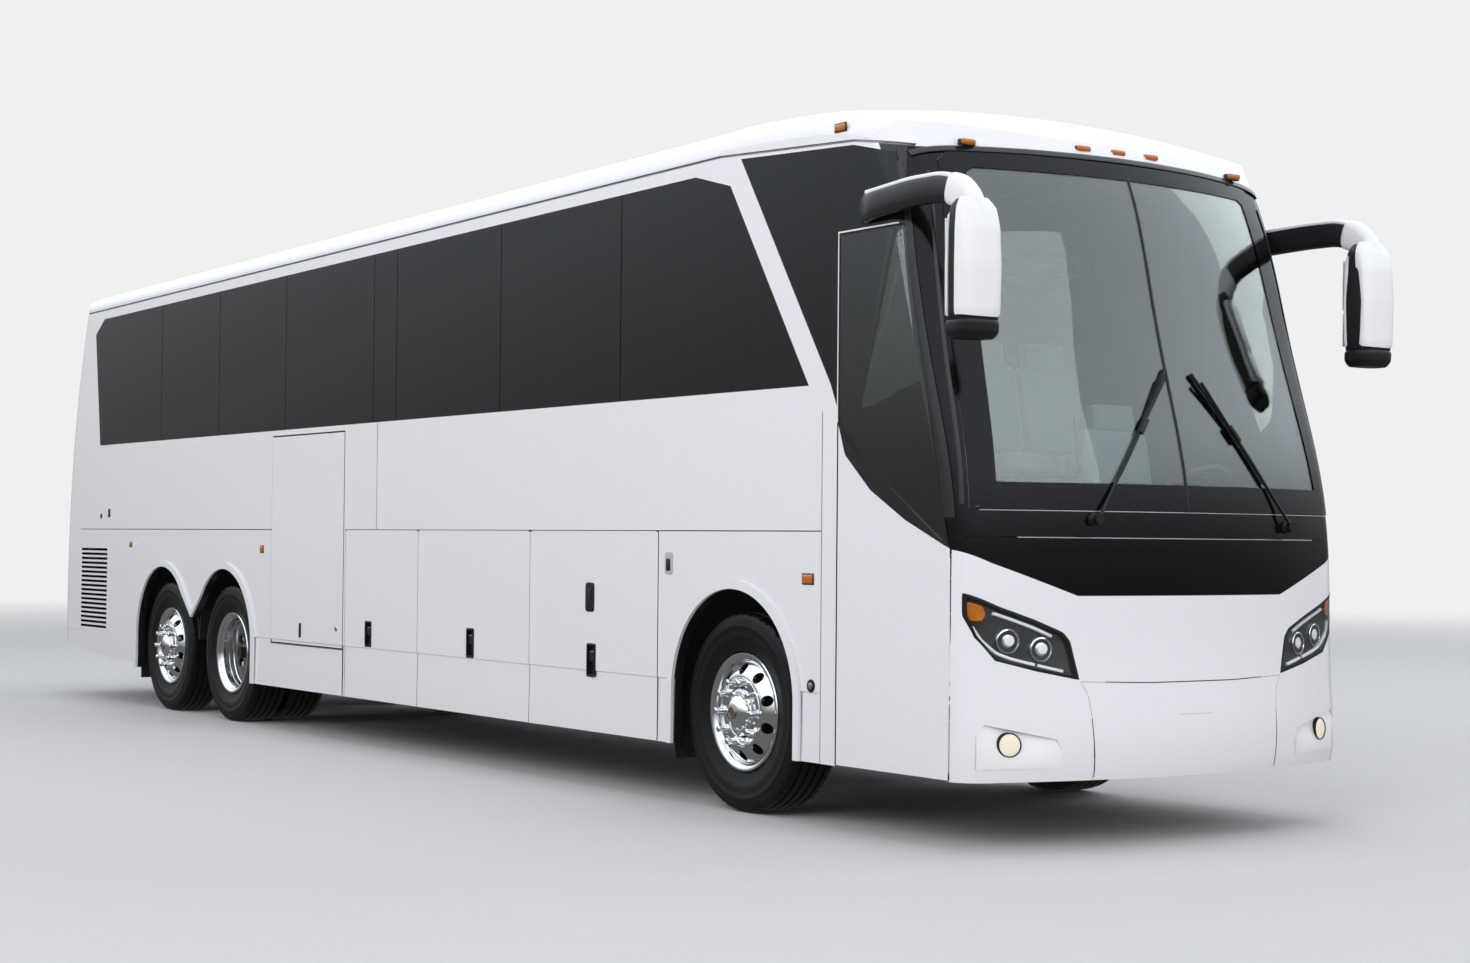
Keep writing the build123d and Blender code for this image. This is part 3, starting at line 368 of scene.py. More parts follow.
def makeGrimeGroup():
    # dust that thickens towards the ground, broken up by two sizes of noise
    s = grimeSpec
    group, start, end = socketGroup(
        "roadGrime", {"Colour": (0.8, 0.8, 0.8, 1), "Dust": (0.35, 0.32, 0.28, 1), "Amount": 0.3, "Top": 0.9,
                      "Roughness": 0.3}, ("Colour", "Roughness", "Height"))
    place = placeOf(group)
    fine, coarse = (noiseOf(group, place, s[key], s["detail"]) for key in ("fine", "coarse"))
    fall = calc(group, "DIVIDE", axesOf(group, place)[2], start["Top"])
    low = calc(group, "POWER", calc(group, "SUBTRACT", 1.0, fall, clamp=True), s["fall"])
    broken = calc(group, "MULTIPLY", calc(group, "MULTIPLY", fine, coarse), s["gain"], clamp=True)
    mask = calc(group, "ADD", calc(group, "MULTIPLY", low, broken), calc(group, "MULTIPLY", broken, s["overall"]))
    mask = calc(group, "MULTIPLY", mask, start["Amount"], clamp=True)
    dulled = calc(group, "ADD", start["Roughness"], calc(group, "MULTIPLY", mask, s["dulls"]), clamp=True)
    feed(group, end["Colour"], mixColour(group, mask, start["Colour"], start["Dust"]))
    feed(group, end["Roughness"], dulled)
    feed(group, end["Height"], fine)
    return group


grainSpec = {"detail": 5.0, "mottleScale": 2.3, "mottleDetail": 2.0, "roughens": 0.8}


def makeGrainGroup():
    # fine moulded or rolled grain at the given scale, and a mottled colour
    s = grainSpec
    group, start, end = socketGroup(
        "surfaceGrain", {"Colour": (0.5, 0.5, 0.5, 1), "Scale": 60.0, "Mottle": 0.2, "Roughness": 0.5},
        ("Colour", "Roughness", "Height"))
    place = placeOf(group)
    large = noiseOf(group, place, s["mottleScale"], s["mottleDetail"])
    swing = calc(group, "MULTIPLY", calc(group, "SUBTRACT", large, 0.5), start["Mottle"])
    lift = calc(group, "ADD", swing, 1.0)
    grey = add(group, "ShaderNodeCombineColor", dict.fromkeys(("Red", "Green", "Blue"), lift)).outputs[0]
    rough = calc(group, "ADD", start["Roughness"], calc(group, "MULTIPLY", swing, s["roughens"]), clamp=True)
    feed(group, end["Colour"], mixColour(group, 1.0, start["Colour"], grey, "MULTIPLY"))
    feed(group, end["Roughness"], rough)
    feed(group, end["Height"], noiseOf(group, place, start["Scale"], s["detail"]))
    return group


insideSpec = {"rear": -5.2, "front": 4.6, "top": 2.9, "inwards": -0.45, "sideways": 0.6, "skin": 0.0015,
              "glassGap": 0.006, "sill": 2.1}


def makeInsideGroup():
    # Inside is 1 on faces that look towards the vehicle's middle line: -(normal . offset from the line) over a
    # threshold; Seam is 1 on the edges of the flat side's panels, under the skin and not facing sideways, which it
    # marks for painted shade in the gaps between panels, or on the wall behind the side glass, which it marks dark.
    # The normal is in world axes and the place in the object's own, so both masks hold at rest and are off on a
    # panel that a joint has turned.
    s = insideSpec
    group, _, end = socketGroup("insideMask", {}, ("Inside", "Seam"))
    place = placeOf(group)
    facing = add(group, "ShaderNodeNewGeometry").outputs["True Normal"]
    x, y, z = axesOf(group, place)
    near = add(group, "ShaderNodeClamp", {"Value": x, "Min": s["rear"], "Max": s["front"]}).outputs[0]
    line = add(group, "ShaderNodeCombineXYZ", {0: near, 2: calc(group, "MINIMUM", z, s["top"])}).outputs[0]
    offset = add(group, "ShaderNodeVectorMath", {0: place, 1: line}, operation="SUBTRACT").outputs[0]
    along = add(group, "ShaderNodeVectorMath", {0: facing, 1: offset}, operation="DOT_PRODUCT").outputs["Value"]
    feed(group, end["Inside"], calc(group, "LESS_THAN", along, s["inwards"]))
    # painted shade: faces under the skin that don't face sideways are the walls of the gaps between panels, darkened
    # as if shaded
    turned = calc(group, "LESS_THAN", calc(group, "ABSOLUTE", axesOf(group, facing)[1]), s["sideways"])
    outwards = calc(group, "ABSOLUTE", y)
    under = calc(group, "LESS_THAN", outwards, halfWidth - s["skin"])
    behindGlass = calc(group, "MULTIPLY", calc(group, "LESS_THAN", outwards, halfWidth - s["glassGap"]),
                       calc(group, "GREATER_THAN", z, s["sill"]))
    feed(group, end["Seam"], calc(group, "MAXIMUM", calc(group, "MULTIPLY", turned, under), behindGlass))
    return group


grimeGroup = makeGrimeGroup()
grainGroup = makeGrainGroup()
insideGroup = makeInsideGroup()


def shaderOf(name, **plain):
    made = bpy.data.materials.new(name)
    made.use_nodes = True
    shader = made.node_tree.nodes["Principled BSDF"]
    for label, value in plain.items():
        feed(made.node_tree, shader.inputs[label.replace("_", " ")], value)
    return made, made.node_tree, shader


def material(name, group, colour, bump=0.0, distance=0.001, **settings):
    # a Principled surface whose colour and roughness come from a shared group; the settings that the group has no
    # input for are the surface's own
    made, tree, shader = shaderOf(name)
    effect = add(tree, "ShaderNodeGroup", node_tree=group)
    feed(tree, effect.inputs["Colour"], colour)
    for label, value in settings.items():
        label = label.replace("_", " ")
        feed(tree, (effect if label in effect.inputs else shader).inputs[label], value)
    feed(tree, shader.inputs["Base Color"], effect.outputs["Colour"])
    feed(tree, shader.inputs["Roughness"], effect.outputs["Roughness"])
    if bump:
        bumped(tree, effect.outputs["Height"], bump, distance)
    return made


def grime(name, colour, **settings):
    return material(name, grimeGroup, colour, **settings)


def grain(name, colour, **settings):
    return material(name, grainGroup, colour, **settings)


def lined(made, colour, seams=False, over=None):
    # the same surface with the faces inside the vehicle in the lining's colour; on side panels the faces in the
    # seams too, there as painted shade in the gaps, and on the door everything over its curve
    tree = made.node_tree
    shader = tree.nodes["Principled BSDF"]
    masks = add(tree, "ShaderNodeGroup", node_tree=insideGroup).outputs
    dark = masks["Inside"]
    if seams:
        dark = calc(tree, "MAXIMUM", dark, masks["Seam"])
    if over:
        dark = calc(tree, "MAXIMUM", dark, overCurve(tree, over))
    outside = shader.inputs["Base Color"].links[0].from_socket
    feed(tree, shader.inputs["Base Color"], mixColour(tree, dark, outside, colour))
    coat = calc(tree, "SUBTRACT", coatWeight, calc(tree, "MULTIPLY", dark, coatWeight))
    feed(tree, shader.inputs["Coat Weight"], coat)
    return made


def overCurve(tree, points):
    # 1 where the height is over a curve of (station, height) points
    x, _, z = axesOf(tree, placeOf(tree))
    (x0, z0), (x1, z1) = np.min(points, axis=0), np.max(points, axis=0)
    along = calc(tree, "DIVIDE", calc(tree, "SUBTRACT", x, frontAxleX + x0), x1 - x0, clamp=True)
    curve = add(tree, "ShaderNodeFloatCurve", {"Value": along})
    line = curve.mapping.curves[0]
    line.points[0].location = (0, (points[0][1] - z0) / (z1 - z0))
    line.points[1].location = (1, (points[-1][1] - z0) / (z1 - z0))
    for station, height in points[1:-1]:
        line.points.new((station - x0) / (x1 - x0), (height - z0) / (z1 - z0))
    for point in line.points:
        point.handle_type = "VECTOR"
    curve.mapping.update()
    level = calc(tree, "ADD", calc(tree, "MULTIPLY", curve.outputs[0], z1 - z0), z0)
    return calc(tree, "GREATER_THAN", z, level)


def clear(name, tint, shadow, bend):
    # glass that lets light through to what is behind: shadow rays pass as through a tinted film
    made, tree, shader = shaderOf(name, Base_Color=tint, Roughness=0.0, Transmission_Weight=1.0, IOR=bend)
    film = add(tree, "ShaderNodeBsdfTransparent", {0: shadow}).outputs[0]
    inShadow = add(tree, "ShaderNodeLightPath").outputs["Is Shadow Ray"]
    feed(tree, tree.nodes["Material Output"].inputs[0], mixShader(tree, inShadow, shader.outputs[0], film))
    return made


def ribbedLens(name, bands, scale):
    # a lens whose colour changes with height above the ground, over fine upright ribs
    made, tree, shader = shaderOf(name, Roughness=0.20, Coat_Weight=0.3)
    place = placeOf(tree)
    height = axesOf(tree, place)[2]
    colour = bands[0][1]
    for level, tone in bands[1:]:
        colour = mixColour(tree, calc(tree, "GREATER_THAN", height, level), colour, tone)
    feed(tree, shader.inputs["Base Color"], colour)
    wave = add(tree, "ShaderNodeTexWave", {"Vector": place, "Scale": scale}, bands_direction="Y")
    bumped(tree, wave.outputs["Fac"], strength=0.4, distance=0.002)
    return made


coatWeight = 0.6
lining = (0.055, 0.058, 0.060)
# seamBlack: near-black painted into the side panels' seam gaps as their shade, and on the entrance door over its
# curve
seamBlack = (0.012, 0.012, 0.013)
doorCurve = [(0.945, 2.090), (1.010, 1.920), (1.222, 1.739), (1.507, 1.588), (1.855, 1.448)]


def bodyPaint(name):
    return grime(name, (0.80, 0.797, 0.832), Amount=0.07, Top=1.0, Roughness=0.24, Coat_Weight=coatWeight,
                 Coat_Roughness=0.05)


finishes = {
    "paint": lined(bodyPaint("bodyPaint"), lining),
    # panel and door paint: their seam faces are painted near-black, painted shade in the gaps
    "panel": lined(bodyPaint("panelPaint"), seamBlack, seams=True),
    "door": lined(bodyPaint("doorPaint"), seamBlack, seams=True, over=doorCurve),
    "cap": bodyPaint("capPaint"),
    "shell": grime("mirrorShell", (0.82, 0.82, 0.84), Amount=0.05, Roughness=0.18, Coat_Weight=coatWeight,
                   Coat_Roughness=0.04),
    "blackGloss": grain("blackGloss", (0.004, 0.004, 0.005), Roughness=0.12, Specular_IOR_Level=0.22),
    "greyGloss": grain("greyGloss", (0.016, 0.016, 0.019), Roughness=0.20, Specular_IOR_Level=0.45),
    "blackSatin": grain("blackSatin", (0.010, 0.010, 0.011), Scale=420.0, Roughness=0.42, bump=0.2,
                        Specular_IOR_Level=0.3),
    "sideGlass": grain("sideGlass", (0.006, 0.007, 0.008), Mottle=0.15, Roughness=0.03, Specular_IOR_Level=0.34),
    "windshield": clear("windshieldGlass", (0.80, 0.90, 0.87), (0.66, 0.76, 0.73), 1.68),
    "lampGlass": clear("lampGlass", (0.97, 0.98, 0.98), (0.95, 0.95, 0.95), 1.35),
    "amber": ribbedLens("amberLens", [(0.0, (0.47, 0.130, 0.004))], 60.0),
    "tail": ribbedLens("tailLens", [(0.0, (0.62, 0.60, 0.58)), (1.47, (0.80, 0.24, 0.015)),
                                    (1.62, (0.42, 0.010, 0.010))], 45.0),
    "strip": grain("lampStrip", (0.72, 0.73, 0.76), Scale=300.0, Mottle=0.05, Roughness=0.18,
                   Emission_Color=(0.95, 0.97, 1.0), Emission_Strength=0.05),
    "projector": grain("projectorLens", (0.62, 0.63, 0.66), Scale=120.0, Mottle=0.3, Roughness=0.07, bump=0.15,
                       Metallic=0.75),
    "warm": grain("fogLamp", (0.72, 0.67, 0.55), Scale=260.0, Mottle=0.1, Roughness=0.15, bump=0.3,
                  Emission_Color=(1.0, 0.88, 0.66), Emission_Strength=0.22),
    "lampBowl": grain("lampBowl", (0.014, 0.014, 0.016), Scale=200.0, Roughness=0.3, bump=0.2),
    "alloy": grime("wheelAlloy", (0.80, 0.81, 0.83), Amount=0.10, Top=1.0, Roughness=0.13, Metallic=1.0),
    "chrome": grain("chrome", (0.88, 0.89, 0.90), Mottle=0.05, Roughness=0.06, Metallic=1.0),
    "bronze": grime("hubCapBronze", (0.27, 0.22, 0.15), Amount=0.2, Roughness=0.25, Metallic=0.8),
    "rubber": grime("tyreRubber", (0.006, 0.006, 0.0065), Dust=(0.022, 0.021, 0.020), Amount=0.25, Top=1.3,
                    Roughness=0.42, bump=0.3, distance=0.002, Specular_IOR_Level=0.2),
    "chassis": grime("chassisBlack", (0.010, 0.010, 0.011), Dust=(0.05, 0.045, 0.04), Amount=0.6, Top=1.4,
                     Roughness=0.55, bump=0.2, distance=0.002, Specular_IOR_Level=0.25),
    "floor": grain("floorCover", (0.06, 0.062, 0.066), Scale=300.0, bump=0.3),
    "trim": grain("cabinTrim", (0.028, 0.030, 0.032), Scale=500.0, Roughness=0.55, bump=0.25),
    "paleTrim": grain("paleTrim", (0.42, 0.43, 0.41), Scale=400.0, Roughness=0.4, bump=0.1),
    "fabric": grain("seatFabric", (0.16, 0.18, 0.19), Scale=700.0, Mottle=0.5, Roughness=0.85, bump=0.6,
                    Sheen_Weight=0.3),
    "iron": grime("castIron", (0.11, 0.11, 0.115), Amount=0.5, Top=2.0, Roughness=0.6, bump=0.4, distance=0.002),
    "steel": grain("brushedSteel", (0.62, 0.62, 0.63), Scale=900.0, Roughness=0.28, bump=0.1, Metallic=1.0),
}
print("finishes made:", len(finishes))

nodeFinish = {
    "paint": ["roof", "rear_cap", "engine_door"],
    "cap": ["front_cap", "front_bumper"],
    "panel": ["side_grilles", "lift_door",
              *[f"{node}_{side}" for node in ("side_wall", "arch_panels") for side in sides],
              *[f"bay_door_{side}_{number}" for side in sides for number in (1, 2, 3)]],
    "door": ["entrance_door"],
    "blackGloss": ["front_frame"],
    "blackSatin": ["wipers"],
    "sideGlass": ["side_glass"],
    "windshield": ["windshield", "entrance_door_glass"],
    "lampGlass": ["headlamps"],
    "lampBowl": ["lamp_units"],
    "tail": ["tail_lamps"],
    "chassis": ["underbody", "frame_rails", "front_axle", "rear_axles", "knuckle_left", "knuckle_right"],
    "floor": ["cabin_floor", "entry_steps"],
    "trim": ["driver_console"],
    "iron": ["engine_block"],
    "steel": ["handrails"],
}
for finish, names in nodeFinish.items():
    for name in names:
        nodes[name].data.materials.clear()
        nodes[name].data.materials.append(finishes[finish])


# Tyres: a revolved section with grooves that wander, over the solid tyre's own form

tyreSpec = {"around": 240, "grooves": (-0.27, -0.09, 0.09, 0.27), "grooveWidth": 0.030, "grooveDepth": 0.011,
            "waves": 60, "waveSize": 0.010, "bead": 0.291, "flange": 0.325, "treadHalf": 0.33,
            "treadEdge": 0.36, "grooveFloor": 0.6, "shoulder": (0.40, 0.045), "nick": (0.25, 0.006),
            "drawnRadius": 0.545, "crownDrop": 0.0034}


def tyreShape(centre, width, radius):
    # section rows (share of the width, radius) from bead to bead; the grooves' edges swing with the angle
    s = tyreSpec
    wall = [(0.390, s["bead"]), (0.393, s["flange"]), (0.425, s["flange"] + 0.010), (0.432, s["flange"] + 0.022),
            (0.470, 0.375), (0.492, 0.400), (0.497, 0.404), (0.500, 0.430), (0.499, 0.458), (0.504, 0.461),
            (0.504, 0.472), (0.496, 0.475), (0.488, 0.492), (0.478, 0.512), (0.462, 0.528), (0.435, 0.5375),
            (0.400, 0.5415)]
    right = [(share, r * radius / s["drawnRadius"]) for share, r in wall]
    w, d, floor = s["grooveWidth"], s["grooveDepth"], s["grooveFloor"]
    shoulder, reach = s["shoulder"]
    tread = [(s["treadEdge"], 0.0)]
    for middle in reversed(s["grooves"]):
        tread += [(middle + w, 0.0), (middle + floor * w, -d), (middle - floor * w, -d), (middle - w, 0.0)]
    tread += [(-s["treadEdge"], 0.0)]
    crown = [(share, radius - s["crownDrop"] * (share / shoulder)**2 + drop) for share, drop in tread]
    rows = np.array(right + crown + [(-share, r) for share, r in reversed(right)])
    turn = np.linspace(0, 2 * np.pi, s["around"], endpoint=False)
    wave = (turn * s["waves"] / (2 * np.pi)) % 1
    onTread = (np.abs(rows[:, 0]) < s["treadHalf"])[:, None]
    onShoulder = (np.abs(np.abs(rows[:, 0]) - shoulder) < reach)[:, None]
    share, deep = s["nick"]
    a = (rows[:, :1] + s["waveSize"] * np.abs(wave * 2 - 1)[None] * onTread) * width
    r = rows[:, 1:] - deep * ((wave < share)[None] & onShoulder)
    points = np.stack([r * np.sin(turn), a, r * np.cos(turn)], axis=-1)
    return moved(gridShape(points, wrapV=True), centre)


def tyreCentres(node, count):
    # middles of the tyres in a node: one in the middle of its box, or one at each end of it
    low, high = (np.array(corner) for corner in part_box(node))
    if count == 1:
        return [(low + high) / 2]
    ends = (low[1] + tyreWidth / 2, high[1] - tyreWidth / 2)
    return [np.array([(low[0] + high[0]) / 2, y, (low[2] + high[2]) / 2]) for y in ends]


tyreLow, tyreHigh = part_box("front_tyre_left")
tyreWidth, tyreRadius = tyreHigh.y - tyreLow.y, (tyreHigh.z - tyreLow.z) / 2
for node, body, count in (("front_tyre", "front_wheel", 1), ("drive_tyres", "drive_wheels", 2),
                          ("tag_tyre", "tag_wheel", 1)):
    for side in sides:
        centres = tyreCentres(f"{node}_{side}", count)
        shape = joined([tyreShape(centre, tyreWidth, tyreRadius) for centre in centres])
        tyre = piece(f"{node}Tread_{side}", shape, "rubber", f"{body}_{side}", angle=28)
        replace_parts(tyre, f"{node}_{side}")
print("tyres done")


# Wheels: polished discs with hand holes between long nut covers and the rim, places along the axle from the
# middle of the tyre outwards, radii from the axle

wheelSpec = {"holes": 10, "holeRing": 0.236, "holeRadius": 0.030, "discIn": 0.192, "discOut": 0.272, "rise": 0.052,
             "nuts": 10, "nutRing": 0.1675, "nutRadius": 0.0165, "nutSides": 14, "around": 96, "rays": 48,
             "steps": 7, "thick": 0.020, "edge": 0.004, "deepRise": 0.020, "recess": 0.008}
barrelRows = [(-0.120, 0.291), (-0.120, 0.320), (-0.126, 0.324), (-0.132, 0.321), (-0.134, 0.308),
              (-0.122, 0.290), (-0.100, 0.274), (0.060, 0.268), (0.086, 0.270)]
lipRows = [(0.100, 0.279), (0.116, 0.286), (0.126, 0.296), (0.134, 0.312), (0.133, 0.321), (0.127, 0.325),
           (0.121, 0.321), (0.120, 0.291), (-0.120, 0.291)]
dishRows = [(0.098, 0.277), (0.092, 0.272), (0.050, 0.271), (0.044, 0.266), (0.010, 0.265), (0.004, 0.260),
            (-0.040, 0.259), (-0.070, 0.262)]
twinRows = [(0.120, 0.270), (0.133, 0.300), (0.133, 0.322), (0.120, 0.322), (0.120, 0.291), (-0.120, 0.291)]
twinWeb = [(0.060, 0.080), (0.060, 0.190), (0.090, 0.270), (0.075, 0.270), (0.045, 0.190)]
# a nut cover's section: metres from the disc's face, share of its length, share of its radius
nutRows = [(-0.004, 0, 0), (-0.004, 0, 1.5), (0.004, 0, 1.5), (0.010, 0, 1.12), (0, 0.45, 1), (0, 0.62, 0.98),
           (0, 0.66, 1.16), (0, 0.90, 1.10), (0, 0.98, 0.75), (0, 1, 0)]
# hub rows from the disc's face, cap rows from the hub's end
hubRows = [(-0.024, 0.134), (0.004, 0.128), (0.008, 0.112), (0.013, 0.108)]
capRows = [(-0.004, 0.035), (0.006, 0.035), (0.009, 0.031), (0.009, 0.026), (0.006, 0.024), (0.007, 0.0)]
twinPitch = 0.330


def holedDisc(axial, inner, outer):
    # one patch for each hand hole: rays from the hole's middle run from its edge to the patch's own border in
    # radius and angle; axial is a function of the radius that dishes the disc; the hole's wall goes in behind it
    s = wheelSpec
    ray = np.linspace(0, 2 * np.pi, s["rays"], endpoint=False)
    dr, da = np.cos(ray), np.sin(ray)
    toEdge = np.where(dr > 0, (outer - s["holeRing"]) / np.maximum(dr, 1e-9),
                      (s["holeRing"] - inner) / np.maximum(-dr, 1e-9))
    toSide = np.pi / s["holes"] / np.maximum(np.abs(da), 1e-9) * s["holeRing"]
    share = np.linspace(0, 1, s["steps"])[:, None]
    reach = s["holeRadius"] + share * (np.minimum(toEdge, toSide)[None] - s["holeRadius"])
    radius = s["holeRing"] + reach * dr
    angle = reach * da / s["holeRing"]
    front = axial(radius)
    radius = np.vstack([radius[:1], radius[:1], radius])
    angle = np.vstack([angle[:1], angle[:1], angle])
    front = np.vstack([front[:1] - s["thick"], front[:1] - s["edge"], front])
    patches = []
    for turn in np.arange(s["holes"]) * 2 * np.pi / s["holes"]:
        points = np.stack([radius * np.sin(angle + turn), front, radius * np.cos(angle + turn)], axis=-1)
        patches.append(gridShape(points, wrapV=True))
    return joined(patches)


def nutCovers(face, length):
    # a flared foot, a tapering sleeve and a rounded tip, turned round its own line, repeated on the bolt circle
    s = wheelSpec
    profile = [(face + rise + length * share, s["nutRadius"] * swell) for rise, share, swell in nutRows]
    one = lathe(profile, s["nutSides"])
    turns = (np.arange(s["nuts"]) + 0.5) * 2 * np.pi / s["nuts"]
    return joined([moved(one, (s["nutRing"] * np.sin(t), 0, s["nutRing"] * np.cos(t))) for t in turns])


def wheelShapes(disc, deep, hubLength, nutLength):
    # parts of one wheel: rim and disc, hub, nut covers and cap; a deep wheel has a long stepped barrel before its
    # disc
    s = wheelSpec
    rise = s["deepRise"] if deep else s["rise"]

    def axial(radius):
        # the disc rises from its outer edge to the ridge round its middle as a quarter of a sine wave
        share = np.clip((s["discOut"] - radius) / (s["discOut"] - s["discIn"]), 0, 1)
        return disc + rise * np.sin(np.pi / 2 * share)

    ridge = disc + rise
    face = ridge - s["recess"]
    lip = list(reversed(dishRows)) + lipRows[2:] if deep else [(disc + 0.002, 0.2725)] + lipRows
    around = s["around"]
    middle = [(ridge, s["discIn"]), (ridge + 0.003, 0.189), (ridge + 0.001, 0.186), (face, 0.184), (face, 0.142),
              (face - 0.020, 0.136)]
    behind = [(disc - 0.030, 0.100), (disc - 0.024, 0.262)]
    barrel = lathe([(disc, s["discOut"])] + lip + barrelRows[1:], around)
    web = joined([holedDisc(axial, s["discIn"], s["discOut"]), lathe(middle, around)])
    swell = np.linspace(0, 1.19, 9)
    dome = np.stack([face + 0.014 + (hubLength - 0.023) * np.sin(swell), 0.100 * np.cos(swell)], axis=-1)
    end = dome[-1, 0]
    hub = [*((face + along, r) for along, r in hubRows), *dome.tolist(), (end - 0.004, 0.0)]
    cap = [(end + along, r) for along, r in capRows]
    tones = ("iron", "iron", "steel", "chassis") if deep else ("alloy", "chrome", "chrome", "bronze")
    return {"Rim": (barrel, "alloy"), "Disc": (web, tones[0]), "Hub": (lathe(hub, 60), tones[1]),
            "Nuts": (nutCovers(face, nutLength), tones[2]), "Cap": (lathe(cap, 40), tones[3]),
            "Drum": (lathe(behind, 48), "chassis")}


def wheelSet(node, body, disc, deep, hubLength, nutLength):
    # both sides' wheels, each on its own body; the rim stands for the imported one
    for side, sign in (("left", 1), ("right", -1)):
        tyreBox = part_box(node.replace("rims", "tyres").replace("rim", "tyre") + f"_{side}")
        outerY = tyreBox[1].y - tyreWidth / 2 if sign > 0 else tyreBox[0].y + tyreWidth / 2
        centre = ((tyreBox[0].x + tyreBox[1].x) / 2, outerY, (tyreBox[0].z + tyreBox[1].z) / 2)
        made = wheelShapes(disc, deep, hubLength, nutLength)
        if deep:
            twin = joined([lathe(barrelRows + twinRows, 64), lathe(twinWeb, 48)])
            made["Twin"] = (moved(twin, (0, -twinPitch, 0)), "alloy")
        for label, (shape, finish) in made.items():
            if sign < 0:
                shape = mirrored(shape)
            thing = piece(f"{node}{label}_{side}", moved(shape, centre), finish, f"{body}_{side}")
            if label == "Rim":
                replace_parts(thing, f"{node}_{side}")


wheelSet("front_rim", "front_wheel", 0.100, False, 0.070, 0.066)
wheelSet("tag_rim", "tag_wheel", 0.100, False, 0.070, 0.066)
wheelSet("drive_rims", "drive_wheels", -0.070, True, 0.085, 0.045)
print("wheels done")


# Headlamps: black edge, turn signal, light strips and projectors behind the lens. Sections: (drawn in, height)

lampSpec = {
    "outline": [(1.272, 1.240), (1.272, 1.130), (1.232, 1.026), (1.136, 0.916), (0.919, 0.862), (0.695, 0.820),
                (0.742, 1.007), (0.780, 1.050), (0.931, 1.111), (1.112, 1.173)],
    "edge": [(-0.001, -0.006), (-0.001, 0.0010), (0.001, 0.0016), (0.013, 0.0016), (0.015, -0.006)],
    "signal": [(1.258, 1.200), (1.258, 1.135), (1.236, 1.105), (1.190, 1.105), (1.172, 1.135), (1.188, 1.178)],
    "signalPlate": [(0.0, -0.0205), (0.0, -0.012), (0.004, -0.0095)],
    "strips": [([(1.135, 1.142), (1.060, 1.118), (0.930, 1.073), (0.835, 1.032)], 24),
               ([(1.232, 1.078), (1.200, 1.020), (1.120, 0.950), (1.040, 0.922), (0.925, 0.895)], 32),
               ([(0.905, 0.891), (0.860, 0.880), (0.775, 0.862)], 12)],
    "stripBead": (0.015, -0.021, -0.0095, 0.003),
    "projectors": [(1.062, 1.008), (0.890, 0.968)], "radius": 0.059, "eyeInset": 0.010,
    "bezel": [(0.0, -0.030), (0.0, -0.0100), (0.002, -0.0088), (0.007, -0.0088), (0.010, -0.0130),
              (0.010, -0.030)],
    "eye": [(0.0, -0.030), (0.0, -0.0190), (0.004, -0.0150), (0.010, -0.0120), (0.020, -0.0102),
            (0.032, -0.0098)],
    "bulb": [(0.0, -0.0150), (0.0, -0.0096), (0.004, -0.0090)], "bulbAt": (-0.006, 0.004), "bulbRadius": 0.026,
}


def circle(middle, radius, count=48):
    turn = np.linspace(0, 2 * np.pi, count, endpoint=False)
    return np.stack([middle[0] + radius * np.cos(turn), middle[1] + radius * np.sin(turn)], axis=-1)


def headlampShapes():
    s = lampSpec
    edge = rim(smoothLoop(s["outline"], 160, 2), s["edge"], onNose)
    signal = plate(smoothLoop(s["signal"], 48, 2), s["signalPlate"], onNose)
    strips = [bead(line, count, s["stripBead"], onNose, 4) for line, count in s["strips"]]
    bezels = [rim(circle(middle, s["radius"]), s["bezel"], onNose) for middle in s["projectors"]]
    eyes = [plate(circle(middle, s["radius"] - s["eyeInset"]), s["eye"], onNose) for middle in s["projectors"]]
    dy, dz = s["bulbAt"]
    bulbs = [plate(circle((y + dy, z + dz), s["bulbRadius"], 24), s["bulb"], onNose) for y, z in s["projectors"]]
    return {"Edge": (edge, "blackSatin"), "Signal": (signal, "amber"), "Strips": (joined(strips), "strip"),
            "Bezels": (joined(bezels), "chrome"), "Eyes": (joined(eyes), "projector"),
            "Bulbs": (joined(bulbs), "strip")}


sidePieces("headlamp", headlampShapes())

fogSpec = {"middle": (1.075, 0.515), "radius": 0.055, "ringGap": 0.003, "deep": 0.0215, "proud": 0.0004,
           "crease": [(1.236, 0.560), (1.199, 0.613), (0.832, 0.537), (0.800, 0.470)],
           "foot": (1.236, 0.815, 0.400),
           "ring": [(-0.001, -0.024), (-0.001, -0.002), (0.0, 0.0), (0.004, 0.0), (0.006, -0.008)],
           "lens": [(0.0, -0.022), (0.0, -0.004), (0.010, -0.001), (0.030, 0.001)], "across": 48, "up": 26}


def fogSurround():
    # the hollow over the lamp runs out towards its foot and ends: depth = deep * sin(pi u)^0.9 * (3 v^2 - 2 v^3),
    # where u runs across and v from the foot to the crease
    s = fogSpec
    u, v = np.meshgrid(np.linspace(0, 1, s["across"]), np.linspace(0, 1, s["up"]), indexing="ij")
    line = smoothPath(s["crease"], s["across"])
    first, last, foot = s["foot"]
    y = line[:, :1] * v + (1 - v) * np.linspace(first, last, s["across"])[:, None]
    z = foot + (line[:, 1:] - foot) * v
    depth = s["deep"] * np.sin(np.pi * np.clip(u, 0.001, 0.999)) ** 0.9 * (3 * v**2 - 2 * v**3)
    return gridShape(onNose(np.stack([y, z], axis=-1), s["proud"] - depth))


fogRing = rim(circle(fogSpec["middle"], fogSpec["radius"] + fogSpec["ringGap"]), fogSpec["ring"], onNose)
fogLens = plate(circle(fogSpec["middle"], fogSpec["radius"]), fogSpec["lens"], onNose)
piece("fogSurrounds", both(fogSurround()), "shell")
piece("fogLampRings", both(fogRing), "blackSatin")
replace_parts(piece("fogLenses", both(fogLens), "warm"), "fog_lamps")
print("headlamps and fog lamps done")


# Lines and strips on the front: rubber brow over the glass, middle joint, silver lines, pillar strips, scratch

